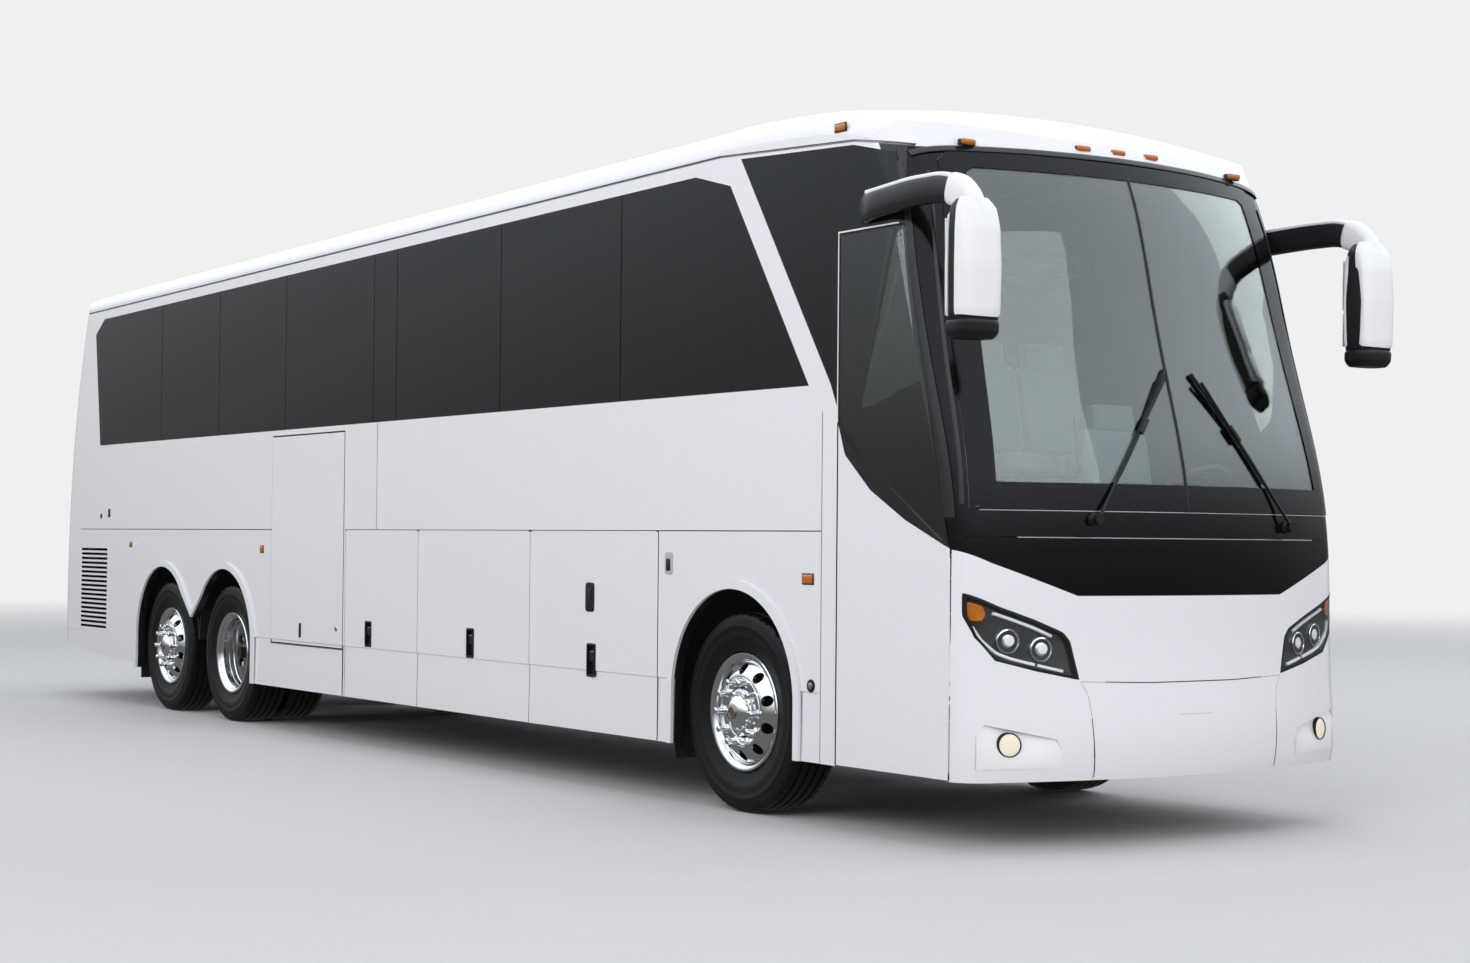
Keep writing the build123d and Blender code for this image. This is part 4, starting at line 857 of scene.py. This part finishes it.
frontSpec = {
    "brow": [(-1.225, 3.418), (-1.160, 3.440), (-1.020, 3.456), (-0.600, 3.464), (0.0, 3.467), (0.600, 3.464),
             (1.020, 3.456), (1.160, 3.440), (1.225, 3.418)],
    "glass": [(-1.240, 1.645), (1.240, 1.645), (1.195, 2.585), (1.100, 3.390), (1.040, 3.446), (-1.040, 3.446),
              (-1.100, 3.390), (-1.195, 2.585)],
    "sight": [(-1.106, 1.775), (1.106, 1.775), (1.048, 2.585), (0.972, 3.335), (0.930, 3.358), (-0.930, 3.358),
              (-0.972, 3.335), (-1.048, 2.585)],
    "borderHeight": 0.0038,
    "joint": [(0.0, 1.650), (0.0, 2.500), (0.0, 3.440)],
    "silver": [(1.508, 1.02, 0.005), (1.638, 1.20, 0.004)],
    "pillarInner": [(1.262, 1.665), (1.236, 2.300), (1.204, 2.900), (1.160, 3.330)],
    "pillarOuter": [(1.293, 1.600), (1.290, 2.300), (1.282, 2.900), (1.262, 3.380)],
    "scratch": [(-0.107, 0.6385), (-0.020, 0.6400), (0.060, 0.6392), (0.129, 0.6415)],
    "bumperTop": [(-0.690, 0.812), (-0.300, 0.800), (0.300, 0.800), (0.690, 0.812)],
    "bumperSide": [(0.690, 0.812), (0.652, 0.748), (0.636, 0.637), (0.622, 0.350)],
    "bumperBead": (0.005, -0.004, 0.0003, 0.0002),
}


def frontLine(key, width, high, count, rounds=6, low=-0.004):
    return bead(frontSpec[key], count, (width, low, high, high / 3), onNose, rounds)


def borderBetween(outer, inner, count, rows, place, height):
    # straight runs between the corners of two outlines, blended row by row: outer * (1 - t) + inner * t
    share = np.linspace(0, 1, count, endpoint=False)[None, :, None]
    loops = [(corners[:, None] * (1 - share) + np.roll(corners, -1, 0)[:, None] * share).reshape(-1, 2)
             for corners in (np.asarray(outer), np.asarray(inner))]
    t = np.linspace(0, 1, rows)[:, None, None]
    return gridShape(place(loops[0] * (1 - t) + loops[1] * t, height), wrapV=True)


border = borderBetween(frontSpec["glass"], frontSpec["sight"], 44, 6, onNose, frontSpec["borderHeight"])
piece("windshieldBorder", border, "blackGloss")
piece("windshieldBrow", frontLine("brow", 0.030, 0.010, 120), "greyGloss")
piece("windshieldJoint", frontLine("joint", 0.014, 0.0054, 40), "blackSatin")
piece("maskLines", joined([bead([(-reach, z), (0, z), (reach, z)], 60, (width, -0.003, 0.0046, 0.0010), onNose)
                           for z, reach, width in frontSpec["silver"]]), "steel")
pillarStrips = [frontLine("pillarInner", 0.014, 0.005, 50), frontLine("pillarOuter", 0.016, 0.006, 50)]
piece("pillarStrips", joined(pillarStrips + [mirrored(shape) for shape in pillarStrips]), "greyGloss")
# black strips on the bumper's seams: painted shade of the gaps
topSeam, sideSeam = (bead(frontSpec[key], count, frontSpec["bumperBead"], onNose, 2)
                     for key, count in (("bumperTop", 60), ("bumperSide", 40)))
piece("bumperSeamShade", joined([topSeam, sideSeam, mirrored(sideSeam)]), "blackSatin")
piece("bumperScratch", frontLine("scratch", 0.0022, 0.0004, 40, 3, -0.001), "paleTrim", slot="body_paint")
print("front lines done")


# Mirrors: a broad arm, a head with a white shell round its front and outer side, a black gap, a rim and a tray

mirrorSpec = {
    "arm": [(1.130, 1.270, 3.150), (1.260, 1.345, 3.168), (1.650, 1.380, 3.185), (1.900, 1.378, 3.182),
            (2.030, 1.376, 3.140), (2.085, 1.375, 3.060)],
    "armHalf": (0.034, 0.074),
    "cap": [(1.925, 1.378, 3.172), (2.010, 1.377, 3.148), (2.075, 1.376, 3.090), (2.100, 1.375, 3.010)],
    "capHalf": [[0.044, 0.080]],
    "ridge": (0.060, 0.031, 0.014),
    "headZ": (2.440, 2.470, 2.560, 2.780, 2.960, 3.050, 3.100),
    "headX": (2.094, 2.096, 2.099, 2.101, 2.099, 2.094, 2.086),
    "headLength": (0.066, 0.081, 0.088, 0.092, 0.086, 0.075, 0.050),
    "headWidth": (0.108, 0.119, 0.124, 0.1265, 0.122, 0.111, 0.086),
    "y": 1.3715, "trayTop": 2.525, "gap": (-0.036, 0.016), "inner": -0.118,
    "glassFace": 2.101 - 0.0940, "glassY": (1.278, 1.465), "glassZ": ((2.745, 3.010), (2.550, 2.725)),
}


def headShape(low, high, back, front, inner, grow, rows=24, around=56):
    # sections with rounded corners between two heights: superellipse of the row's length and width, cut flat at the
    # given shares of them so that a shell covers only a part of the head
    s = mirrorSpec
    z = np.linspace(low, high, rows)
    x, length, width = (np.interp(z, s["headZ"], s[key]) for key in ("headX", "headLength", "headWidth"))
    turn = np.linspace(0, 2 * np.pi, around, endpoint=False)
    c, v = (np.sign(wave) * np.abs(wave) ** 0.55 for wave in (np.cos(turn), np.sin(turn)))
    ends = 1 - 0.10 * np.exp(-np.minimum(z - low, high - z) / 0.008)
    dx = np.clip((length + grow)[:, None] * ends[:, None] * c, back, front)
    dy = np.maximum((width + grow)[:, None] * ends[:, None] * v, inner)
    level = np.broadcast_to(z[:, None], dx.shape)
    return closedRows(np.stack([frontAxleX + x[:, None] + dx, s["y"] + dy, level], axis=-1))


def mirrorShapes():
    s = mirrorSpec
    shift = np.array([frontAxleX, 0, 0])
    across, top = (0, 1, 0), s["trayTop"]
    arm = sweep(smoothPath(s["arm"], 40, 8) + shift, s["armHalf"], 24, 3.2, across)
    taper = np.interp(np.linspace(0, 1, 20), (0, 0.12, 1), (0.6, 1.0, 1.0))[:, None]
    cap = sweep(smoothPath(s["cap"], 20, 3) + shift, taper * np.array(s["capHalf"]), 24, 3.2, across)
    core = headShape(top - 0.02, 3.095, -1, 1, -1, -0.003)
    shell = headShape(top + 0.006, 3.104, s["gap"][1], 1, s["inner"], 0.003)
    back = headShape(top + 0.006, 3.040, -1, s["gap"][0], s["inner"], 0.003)
    tray = headShape(2.438, top, -1, 1, -1, 0.004)
    x = frontAxleX + s["glassFace"]
    glass = joined([roundedBox((x - 0.004, s["glassY"][0], low), (x, s["glassY"][1], high), 0.0018)
                    for low, high in s["glassZ"]])
    lift, wide, tall = s["ridge"]
    ridge = sweep(smoothPath(s["arm"][1:5], 40, 8) + shift + (0, 0, lift), (wide, tall), 20, 3.0, across)
    return {"Arm": (arm, "greyGloss"), "Cap": (joined([cap, ridge]), "shell"), "Core": (core, "blackSatin"),
            "Shell": (joined([shell, back]), "shell"), "Tray": (tray, "blackSatin"), "Glass": (glass, "chrome")}


mirrorPieces = sidePieces("mirror", mirrorShapes())
for side in sides:
    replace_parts(mirrorPieces[f"Arm_{side}"], "mirrors")
print("mirrors done")


# Wiper blades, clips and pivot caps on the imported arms. Rows: foot and tip as (across, height)

wiperSpec = [((-0.603, 1.600), (-0.054, 2.320)), ((0.770, 1.575), (0.201, 2.306))]
bladeSection = [(-0.004, 0.001), (-0.007, 0.014), (-0.005, 0.024), (0.005, 0.024), (0.007, 0.014),
                (0.004, 0.001)]
clipSection = (0.026, 0.010, 0.040, 0.006)
pivotCap = lathe([(0.0, 0.0), (0.0, 0.034), (0.018, 0.032), (0.030, 0.022), (0.034, 0.0)], 32, "x")
for index, row in enumerate(wiperSpec):
    foot, tip = np.array(row)
    run = tip - foot
    blade = ribbon(smoothPath([foot + 0.30 * run, foot + 1.06 * run], 40), bladeSection, onNose)
    cap = moved(pivotCap, (float(noseX(*foot)) - 0.002, *foot))
    clip = bead([foot + 0.60 * run, foot + 0.70 * run], 8, clipSection, onNose)
    piece(f"wiperBlade_{index + 1}", joined([blade, cap, clip]), "blackSatin")
print("wipers done")


# Clearance lamps: amber domes on dark feet. Roof rows: station, distance from the middle, height. Side rows:
# station, height, half length, half height

markerSpec = {"roof": [(1.535, -0.936, 3.490), (1.620, -0.238, 3.514), (1.625, 0.0, 3.514), (1.620, 0.238, 3.514),
                       (1.535, 0.936, 3.490)],
              "side": [(0.951, 3.605, 0.045, 0.018), (0.697, 1.283, 0.046, 0.024), (-6.523, 1.381, 0.028, 0.024),
                       (-9.447, 1.398, 0.024, 0.018)],
              "reflector": (-9.335, 1.398)}


def block(centre, half, radius, steps=3):
    return roundedBox(centre - half, centre + half, radius, steps)


lenses, feet = [], []
for x, y, z in markerSpec["roof"]:
    centre = np.array([frontAxleX + x - 0.004, y, z])
    lenses.append(roundedBox(centre - (0.020, 0.045, 0.015), centre + (0.016, 0.045, 0.015), 0.012, 4))
    feet.append(roundedBox(centre - (0.024, 0.052, 0.019), centre + (0.000, 0.052, 0.013), 0.006))
for x, z, half, tall in markerSpec["side"]:
    for side, label in sideSigns:
        centre = np.array([frontAxleX + x, side * (halfWidth + 0.001), z])
        lenses.append(block(centre, (half, 0.010, tall), 0.009, 4))
        feet.append(block(centre, (half + 0.006, 0.004, tall + 0.006), 0.003))
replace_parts(piece("markerLenses", joined(lenses), "amber"), "marker_lamps")
piece("markerFeet", joined(feet), "greyGloss")
for side, label in sideSigns:
    x, z = markerSpec["reflector"]
    centre = np.array([frontAxleX + x, side * halfWidth, z])
    # the reflector takes the lamp strips' finish, whose faint glow is painted light on a part that is no lamp
    piece(f"clearReflector_{label}", block(centre, (0.026, 0.006, 0.020), 0.005, 4), "strip")
print("marker lamps done")


# Door handles: a black frame over the hollow with a paddle in it. Rows: station, height, the frame's width, height

handleSpec = [(-4.600, 0.797, 0.100, 0.175), (-3.057, 0.797, 0.100, 0.185), (-1.508, 0.759, 0.100, 0.190)]
handleParts = {"lip": 0.012, "proud": 0.003, "deep": 0.0245}


def rectangleLoop(x, z, width, height, rounds=3):
    corners = [(x - width / 2, z - height / 2), (x + width / 2, z - height / 2), (x + width / 2, z + height / 2),
               (x - width / 2, z + height / 2)]
    return smoothLoop(corners, 72, rounds)


def handleShapes(x, z, width, height, side):
    lip, proud, deep = handleParts.values()
    place = onSide(side)
    frameShape = rim(rectangleLoop(x, z, width + 0.010, height + 0.010),
                     [(0.0, 0.0002), (0.001, proud - 0.001), (0.003, proud), (lip, proud),
                      (lip + 0.002, proud - 0.002), (lip + 0.002, -deep), (lip - 0.006, -deep),
                      (lip - 0.006, 0.0002)], place)
    floorShape = plate(rectangleLoop(x, z, width - 0.016, height - 0.016),
                       [(0.0, -deep), (0.0, -0.021), (0.004, -0.020)], place)
    paddle = plate(rectangleLoop(x, z + height * 0.12, width * 0.56, height * 0.34),
                   [(0.0, -0.021), (0.0, -0.006), (0.004, -0.003), (0.010, -0.002)], place)
    return joined([frameShape, floorShape]), paddle


for index, row in enumerate(handleSpec):
    for side, label in sideSigns:
        shell, paddle = handleShapes(*row, side)
        door = f"{label}_{index + 1}"
        piece(f"handleFrame_{door}", shell, "blackSatin", f"bay_door_{door}")
        piece(f"handlePaddle_{door}", paddle, "greyGloss", f"bay_door_{door}")


def raisedPlate(name, loop, layers, finish, body="coach", side=-1):
    return piece(name, plate(loop, layers, onSide(side)), finish, body, "black_trim")


# Small fittings of the right side, and the catches of both sides
lowPlate = [(0.0, -0.001), (0.0, 0.003), (0.002, 0.005), (0.010, 0.006)]
smallPlate = [(0.0, 0.004), (0.0, 0.008), (0.004, 0.009)]
lockCore = [(0.0, 0.004), (0.0, 0.008), (0.003, 0.009)]
ventPlate = [(0.0, -0.001), (0.0, 0.002), (0.003, 0.003)]
for side, label in sideSigns:
    door = f"bay_door_{label}_3"
    outline, inset = rectangleLoop(-1.527, 1.134, 0.100, 0.175, 8), rectangleLoop(-1.527, 1.150, 0.052, 0.070, 5)
    raisedPlate(f"catchPlate_{label}", outline, lowPlate, "blackSatin", door, side)
    raisedPlate(f"catchPaddle_{label}", inset, smallPlate, "greyGloss", door, side)
raisedPlate("fillerCatch", rectangleLoop(-0.651, 1.349, 0.080, 0.125, 8), lowPlate, "paleTrim")
raisedPlate("fillerCatchInset", rectangleLoop(-0.651, 1.340, 0.044, 0.070, 6),
            [(0.0, 0.004), (0.0, 0.007), (0.002, 0.0075)], "greyGloss")
raisedPlate("liftHandle", rectangleLoop(-5.780, 0.780, 0.036, 0.110, 6), lowPlate, "greyGloss", "lift_door")
raisedPlate("liftLock", circle((-5.140, 0.815), 0.020), lowPlate, "steel", "lift_door")
raisedPlate("skirtLock", circle((0.731, 0.730), 0.034), lowPlate, "blackSatin")
raisedPlate("skirtLockCore", circle((0.731, 0.730), 0.018), lockCore, "steel")
for index, row in enumerate([(-10.230, 1.650, 0.050, 0.040), (-10.020, 1.677, 0.055, 0.075)]):
    raisedPlate(f"vent_{index + 1}", rectangleLoop(*row), ventPlate, "blackSatin")
print("handles and fittings done")


# Black strips lying on the seams between the side's panels: painted shade of the gaps. Rows: two ends as station and
# height, width, which sides
seamSpec = [((0.9425, 0.340), (0.9425, 2.088), 0.005, "right"),
            ((0.8125, 0.340), (0.8125, 2.150), 0.005, "both"),
            ((-0.7630, 0.340), (-0.7630, 1.528), 0.004, "both"),
            ((-5.0265, 0.340), (-5.0265, 2.246), 0.006, "right"),
            ((-6.3375, 0.670), (-6.3375, 2.246), 0.004, "right"),
            ((-6.335, 2.2475), (-5.030, 2.2475), 0.005, "right"),
            ((-6.335, 0.6675), (-5.030, 0.6675), 0.005, "right"),
            ((-4.4875, 1.535), (-4.4875, 2.288), 0.006, "both"),
            ((-10.780, 1.5325), (-6.340, 1.5325), 0.006, "both"),
            ((-4.998, 1.5325), (0.812, 1.5325), 0.006, "both")]
piece("sideSeamShade", joined([bead([first, last], 12, (width, -0.003, 0.0003, 0.0002), onSide(side))
                           for first, last, width, where in seamSpec for side, label in sideSigns
                           if where in (label, "both")]), "blackSatin")


# Entrance door: black border printed behind its glass, a pale inner frame and a slanted bar

doorSpec = {
    "glass": [(0.951, 2.090), (1.010, 1.928), (1.222, 1.746), (1.507, 1.595), (1.838, 1.462), (1.484, 3.054),
              (0.951, 3.054)],
    "sight": [(1.060, 1.935), (1.265, 1.795), (1.700, 1.795), (1.500, 3.000), (1.060, 2.960)],
    "seal": [(-0.003, -0.003), (-0.003, 0.0012), (0.006, 0.0012), (0.007, -0.003)],
    "frame": [(0.0, -0.066), (0.0, -0.056), (0.010, -0.056), (0.010, -0.066)],
    "bar": [(1.075, 1.190, 2.080), (1.230, 1.190, 2.420), (1.330, 1.190, 2.900)],
    "borderBack": 0.0040, "noseSeam": [(1.8580, 0.340), (1.8580, 1.450)],
    "pillarIn": [(1.473, 3.070), (1.414, 3.270), (1.362, 3.436)], "pillarOut": [(1.498, 3.070), (1.420, 3.436)],
}


def cornerY(station, z):
    # distance from the middle to the side at a station: flat, then round the front corner, found on the nose
    y = np.linspace(1.0, halfWidth, 400)
    reach = noseX(y.reshape(-1, *[1] * station.ndim), z[None]) - frontAxleX
    past = reach < station[None]
    return y[np.where(past.any(axis=0), past.argmax(axis=0), len(y) - 1)]


def onCorner(points, height):
    # (station, height above ground) points laid on the right side where it turns into the front corner
    x, z = points[..., 0], points[..., 1]
    return np.stack([frontAxleX + x, -cornerY(x, z) - np.broadcast_to(height, x.shape), z], axis=-1)


def doorBorder():
    # rows between the glass's outline and the opening's: both start at the same corner and run the same way round
    outer = smoothLoop(shrunk(smoothLoop(doorSpec["glass"], 120), 0.002), 120)
    inner = smoothLoop(doorSpec["sight"], 400)
    nearest = np.argmin(np.linalg.norm(outer[:, None] - inner[None], axis=-1), axis=1)
    order = np.maximum.accumulate(np.where(np.arange(len(nearest)) < 2, np.minimum(nearest, 20), nearest))
    return gridShape(onCorner(np.stack([outer, inner[order]]), -doorSpec["borderBack"]), wrapV=True)


piece("doorBorder", doorBorder(), "blackGloss", "entrance_door")
piece("doorGlassSeal", rim(smoothLoop(doorSpec["glass"], 240), doorSpec["seal"], onCorner), "blackSatin",
      "entrance_door")
# black strips on the seams where the front corners meet the side: painted shade of the gaps
piece("noseSeamShade", both(bead(doorSpec["noseSeam"], 40, (0.006, -0.003, 0.0004, 0.0002), onCorner)), "blackSatin")
pillarRows = np.stack([smoothPath(doorSpec[key], 24) for key in ("pillarIn", "pillarOut")])
piece("pillarTops", both(gridShape(onCorner(pillarRows, 0.0015))), "blackGloss")
innerLoop = shrunk(smoothLoop(doorSpec["sight"], 120, 3), 0.020)
piece("doorInnerFrame", rim(innerLoop, doorSpec["frame"], onCorner), "paleTrim", "entrance_door")
bar = smoothPath([(frontAxleX + x, -y, z) for x, y, z in doorSpec["bar"]], 24, 4)
piece("doorBar", sweep(bar, (0.017, 0.017), 14), "paleTrim", "entrance_door")
print("entrance door done")


# Seats: padded cushions, backs and head pads on plain frames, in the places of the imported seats

seatSpec = {
    "pitch": 0.830, "rows": 13, "first": 0.250, "floor": 1.536, "places": (0.232, 0.716), "width": 0.480,
    "driver": (1.180, 0.400, 0.480, 1.120), "lean": 0.205, "tip": 0.06, "channel": 0.008, "channelHalf": 0.07,
    "roundness": 0.32, "flatness": 0.60,
}
# length, share of the place's width, thickness, crown, pull, channels, middle from the place's foot
padRows = {"cushion": (0.440, 1, 0.130, 0.16, 0.035, (-0.35, 0.35), (0.020, 0, 0.385)),
           "back": (0.560, 1, 0.120, 0.14, 0.040, (-0.5, 0.0, 0.45), (-0.232, 0, 0.730)),
           "head": (0.170, 0.66, 0.105, 0.22, 0.05, (), (-0.298, 0, 1.052))}


def padShape(size, crown, pull, channels, nu=26, nv=18):
    # a crowned closed form: a ball's directions raised to a small power fill out to a rounded box; the sides pull in
    # between the corners by pull * (1 - t^2), the faces rise by crown * (1 - t^2), and sewn channels sink in as
    # narrow bells across the width
    tilt = np.linspace(-np.pi / 2, np.pi / 2, nv)[:, None]
    turn = np.linspace(0, 2 * np.pi, nu * 2, endpoint=False)[None]

    def eased(wave, power):
        return np.sign(wave) * np.abs(wave) ** power

    power = seatSpec["roundness"]
    x = eased(np.cos(tilt), power) * eased(np.cos(turn), power)
    y = eased(np.cos(tilt), power) * eased(np.sin(turn), power)
    z = eased(np.sin(tilt), seatSpec["flatness"]) * np.ones_like(turn)
    px = x * (1 - pull * (1 - y**2))
    py = y * (1 - pull * (1 - x**2))
    face = np.abs(z)
    pz = z * (1 + crown * (1 - x**2) * (1 - y**2))
    for place in channels:
        bell = np.exp(-((x - place) / seatSpec["channelHalf"])**2)
        pz = pz - np.sign(z) * face * (seatSpec["channel"] / size[2] * 2) * bell
    points = np.stack([px * size[0] / 2, py * size[1] / 2, pz * size[2] / 2], axis=-1)
    return gridShape(points, wrapV=True)


def leanTurn(angle):
    c, s = math.cos(angle), math.sin(angle)
    return np.array([[c, 0, -s], [0, 1, 0], [s, 0, c]])


def padAt(key, width, origin, turn):
    length, share, thickness, crown, pull, channels, middle = padRows[key]
    return moved(padShape((length, width * share, thickness), crown, pull, channels), origin + middle, turn)


def seatShapes(station, y, width, floor):
    # one place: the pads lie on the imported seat's cushion and its leaning back, whose slope is lean from upright
    s = seatSpec
    origin = np.array([frontAxleX + station, y, floor])
    lean = leanTurn(s["lean"])
    upright = lean @ np.array([[0, 0, -1.0], [0, 1, 0], [1, 0, 0]])
    pads = [padAt(key, width, origin, turn)
            for key, turn in (("cushion", leanTurn(s["tip"])), ("back", upright), ("head", upright))]
    half = width / 2
    shell = moved(roundedBox((-0.018, 0.01 - half, -0.330), (0.018, half - 0.01, 0.330), 0.017),
                  origin + (-0.292, 0, 0.740), lean)
    base = roundedBox(origin + (-0.190, 0.03 - half, 0.270), origin + (0.210, half - 0.03, 0.325), 0.018)
    leg = roundedBox(origin + (-0.090, -0.050, 0.001), origin + (0.090, 0.050, 0.290), 0.015)
    return (*pads, joined([shell, base, leg]))


s = seatSpec
places = [(s["first"] - index * s["pitch"], side * (y + s["width"] / 2), s["width"], s["floor"])
          for index in range(s["rows"]) for side in (-1, 1) for y in s["places"]]
rowSeats = [seatShapes(*place) for place in places]
station, y, width, floor = s["driver"]
driverSeat = seatShapes(station, y + width / 2, width, floor)
for label, column, fill in (("Cushions", 0, 0.7), ("Backs", 1, 0.6), ("HeadPads", 2, 0.7)):
    pads = piece(f"seat{label}", joined([seat[column] for seat in rowSeats]), "fabric", angle=60)
    if column == 0:
        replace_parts(pads, "seats")
    pad = piece(f"driverSeat{label}", driverSeat[column], "fabric", angle=60)
piece("seatFrames", joined([seat[3] for seat in rowSeats] + [driverSeat[3]]), "trim")
print("seats done:", len(places) + 1)


# Luggage racks over the seats and the instrument hood

rackSpec = {"section": [(1.225, 3.300), (1.225, 3.120), (1.120, 3.080), (0.900, 3.100), (0.860, 3.135),
                        (0.880, 3.160), (1.100, 3.150), (1.205, 3.190)],
            "from": -10.300, "to": 0.100, "stations": 40, "around": 60}
loop = smoothLoop(rackSpec["section"], rackSpec["around"], 2)[None]
stations = np.linspace(rackSpec["from"], rackSpec["to"], rackSpec["stations"])[:, None]
rack = closedRows(np.stack(np.broadcast_arrays(frontAxleX + stations, loop[..., 0], loop[..., 1]), axis=-1))
piece("luggageRacks", both(rack), "trim")
hoodSpec = {"x": 1.740, "from": 0.340, "to": 0.940, "base": 1.665, "rise": 0.055}
hoodMiddle, hoodHalf = (hoodSpec["from"] + hoodSpec["to"]) / 2, (hoodSpec["to"] - hoodSpec["from"]) / 2
hood = sweep([(frontAxleX + hoodSpec["x"], y,
               hoodSpec["base"] + hoodSpec["rise"] * math.cos((y - hoodMiddle) / hoodHalf * math.pi / 2))
              for y in np.linspace(hoodSpec["from"], hoodSpec["to"], 24)], (0.090, 0.030), 20, 2.6, (1, 0, 0))
piece("instrumentHood", hood, "trim")
print("racks and dash hood done")


# Camera: where the photograph was taken from, solved from the vehicle's own lines

cameraSpec = {"from": (15.173, -8.469, 1.479), "yaw": 55.962, "pitch": 1.442, "roll": 0.518, "lens": 57.61,
              "sensor": 36, "reach": 400}


def makeCamera():
    # forward, right and up from yaw and pitch, then right and up turned by the roll
    s = cameraSpec
    a, e, t = (math.radians(s[k]) for k in ("yaw", "pitch", "roll"))
    forward = Vector((-math.sin(a) * math.cos(e), math.cos(a) * math.cos(e), math.sin(e)))
    right = Vector((math.cos(a), math.sin(a), 0))
    up = right.cross(forward)
    right, up = right * math.cos(t) + up * math.sin(t), up * math.cos(t) - right * math.sin(t)
    data = bpy.data.cameras.new("viewpoint")
    data.lens, data.sensor_width, data.clip_end = s["lens"], s["sensor"], s["reach"]
    thing = bpy.data.objects.new("viewpoint", data)
    thing.matrix_world = Matrix((*zip(right, up, -forward, s["from"]), (0, 0, 0, 1)))
    bpy.context.scene.collection.objects.link(thing)
    bpy.context.scene.camera = thing


makeCamera()


# Floor, background and soft lights. Lamp rows: place, size, power

stageSpec = {"size": 160.0, "near": 16.0, "far": 42.0, "sky": (0.86, 0.87, 0.88), "floor": (0.60, 0.60, 0.61),
             "card": (0.15, 0.15, 0.148), "daylight": (0.93, 0.96, 1.0), "strength": 0.60, "horizon": (-0.02, 0.42),
             "lowGloss": (0.22, 0.225, 0.22), "highGloss": (1.45, 1.58, 1.70), "aim": (1.5, 0, 1.5)}
lampRows = {"keyLight": ((16, -20, 15), 14.0, 2000), "sideLight": ((-10, -24, 12), 16.0, 1500),
            "frontLight": ((27, 3, 9), 14.0, 1300), "farLight": ((6, 22, 16), 14.0, 1300),
            "topLight": ((0, 0, 18), 16.0, 700)}


def smoothRange(tree, value, low, high):
    inputs = {"Value": value, "From Min": low, "From Max": high}
    return add(tree, "ShaderNodeMapRange", inputs, interpolation_type="SMOOTHSTEP").outputs[0]


def makeStage():
    # a plain floor that fades into the background's colour with the distance; metal and glass show it as grey
    s = stageSpec
    side = np.linspace(-s["size"], s["size"], 3)
    x, y = np.meshgrid(side, side, indexing="ij")
    points, quads = gridShape(np.stack([x, y, np.zeros_like(x)], axis=-1))
    mesh = bpy.data.meshes.new("ground")
    mesh.from_pydata(points.tolist(), [], quads.tolist())
    made = grain("ground", s["floor"], Scale=12.0, Mottle=0.03, Roughness=0.75, Specular_IOR_Level=0.2)
    tree = made.node_tree
    away = add(tree, "ShaderNodeVectorMath", {0: placeOf(tree)}, operation="LENGTH").outputs["Value"]
    glow, card = (add(tree, "ShaderNodeEmission", {0: s[key]}).outputs[0] for key in ("sky", "card"))
    glossy = add(tree, "ShaderNodeLightPath").outputs["Is Glossy Ray"]
    plain = tree.nodes["Principled BSDF"].outputs[0]
    faded = mixShader(tree, smoothRange(tree, away, s["near"], s["far"]), plain, glow)
    feed(tree, tree.nodes["Material Output"].inputs[0], mixShader(tree, glossy, faded, card))
    mesh.materials.append(made)
    thing = bpy.data.objects.new("ground", mesh)
    bpy.context.scene.collection.objects.link(thing)


def makeLights():
    # the light comes from a pale sky and large soft lamps; seen directly the sky has the background's colour
    s = stageSpec
    world = bpy.data.worlds.new("studio")
    world.use_nodes = True
    bpy.context.scene.world = world
    tree = world.node_tree
    daylight = tree.nodes["Background"]
    feed(tree, daylight.inputs[0], s["daylight"])
    feed(tree, daylight.inputs[1], s["strength"])
    up = axesOf(tree, add(tree, "ShaderNodeTexCoord").outputs["Generated"])[2]
    gradient = mixColour(tree, smoothRange(tree, up, *s["horizon"]), s["lowGloss"], s["highGloss"])
    gloss, seen = (add(tree, "ShaderNodeBackground", {0: colour}).outputs[0] for colour in (gradient, s["sky"]))
    path = add(tree, "ShaderNodeLightPath").outputs
    light = mixShader(tree, path["Is Glossy Ray"], daylight.outputs[0], gloss)
    feed(tree, tree.nodes["World Output"].inputs[0], mixShader(tree, path["Is Camera Ray"], light, seen))
    for name, (place, size, power) in lampRows.items():
        data = bpy.data.lights.new(name, "AREA")
        data.size, data.energy = size, power
        thing = bpy.data.objects.new(name, data)
        thing.location = place
        thing.visible_glossy = False
        aim = Vector(s["aim"]) - Vector(place)
        thing.rotation_euler = aim.to_track_quat("-Z", "Y").to_euler()
        bpy.context.scene.collection.objects.link(thing)


makeStage()
makeLights()
bpy.context.scene.view_settings.view_transform = "Standard"
print("camera, floor and lights done")

bpy.context.view_layer.update()
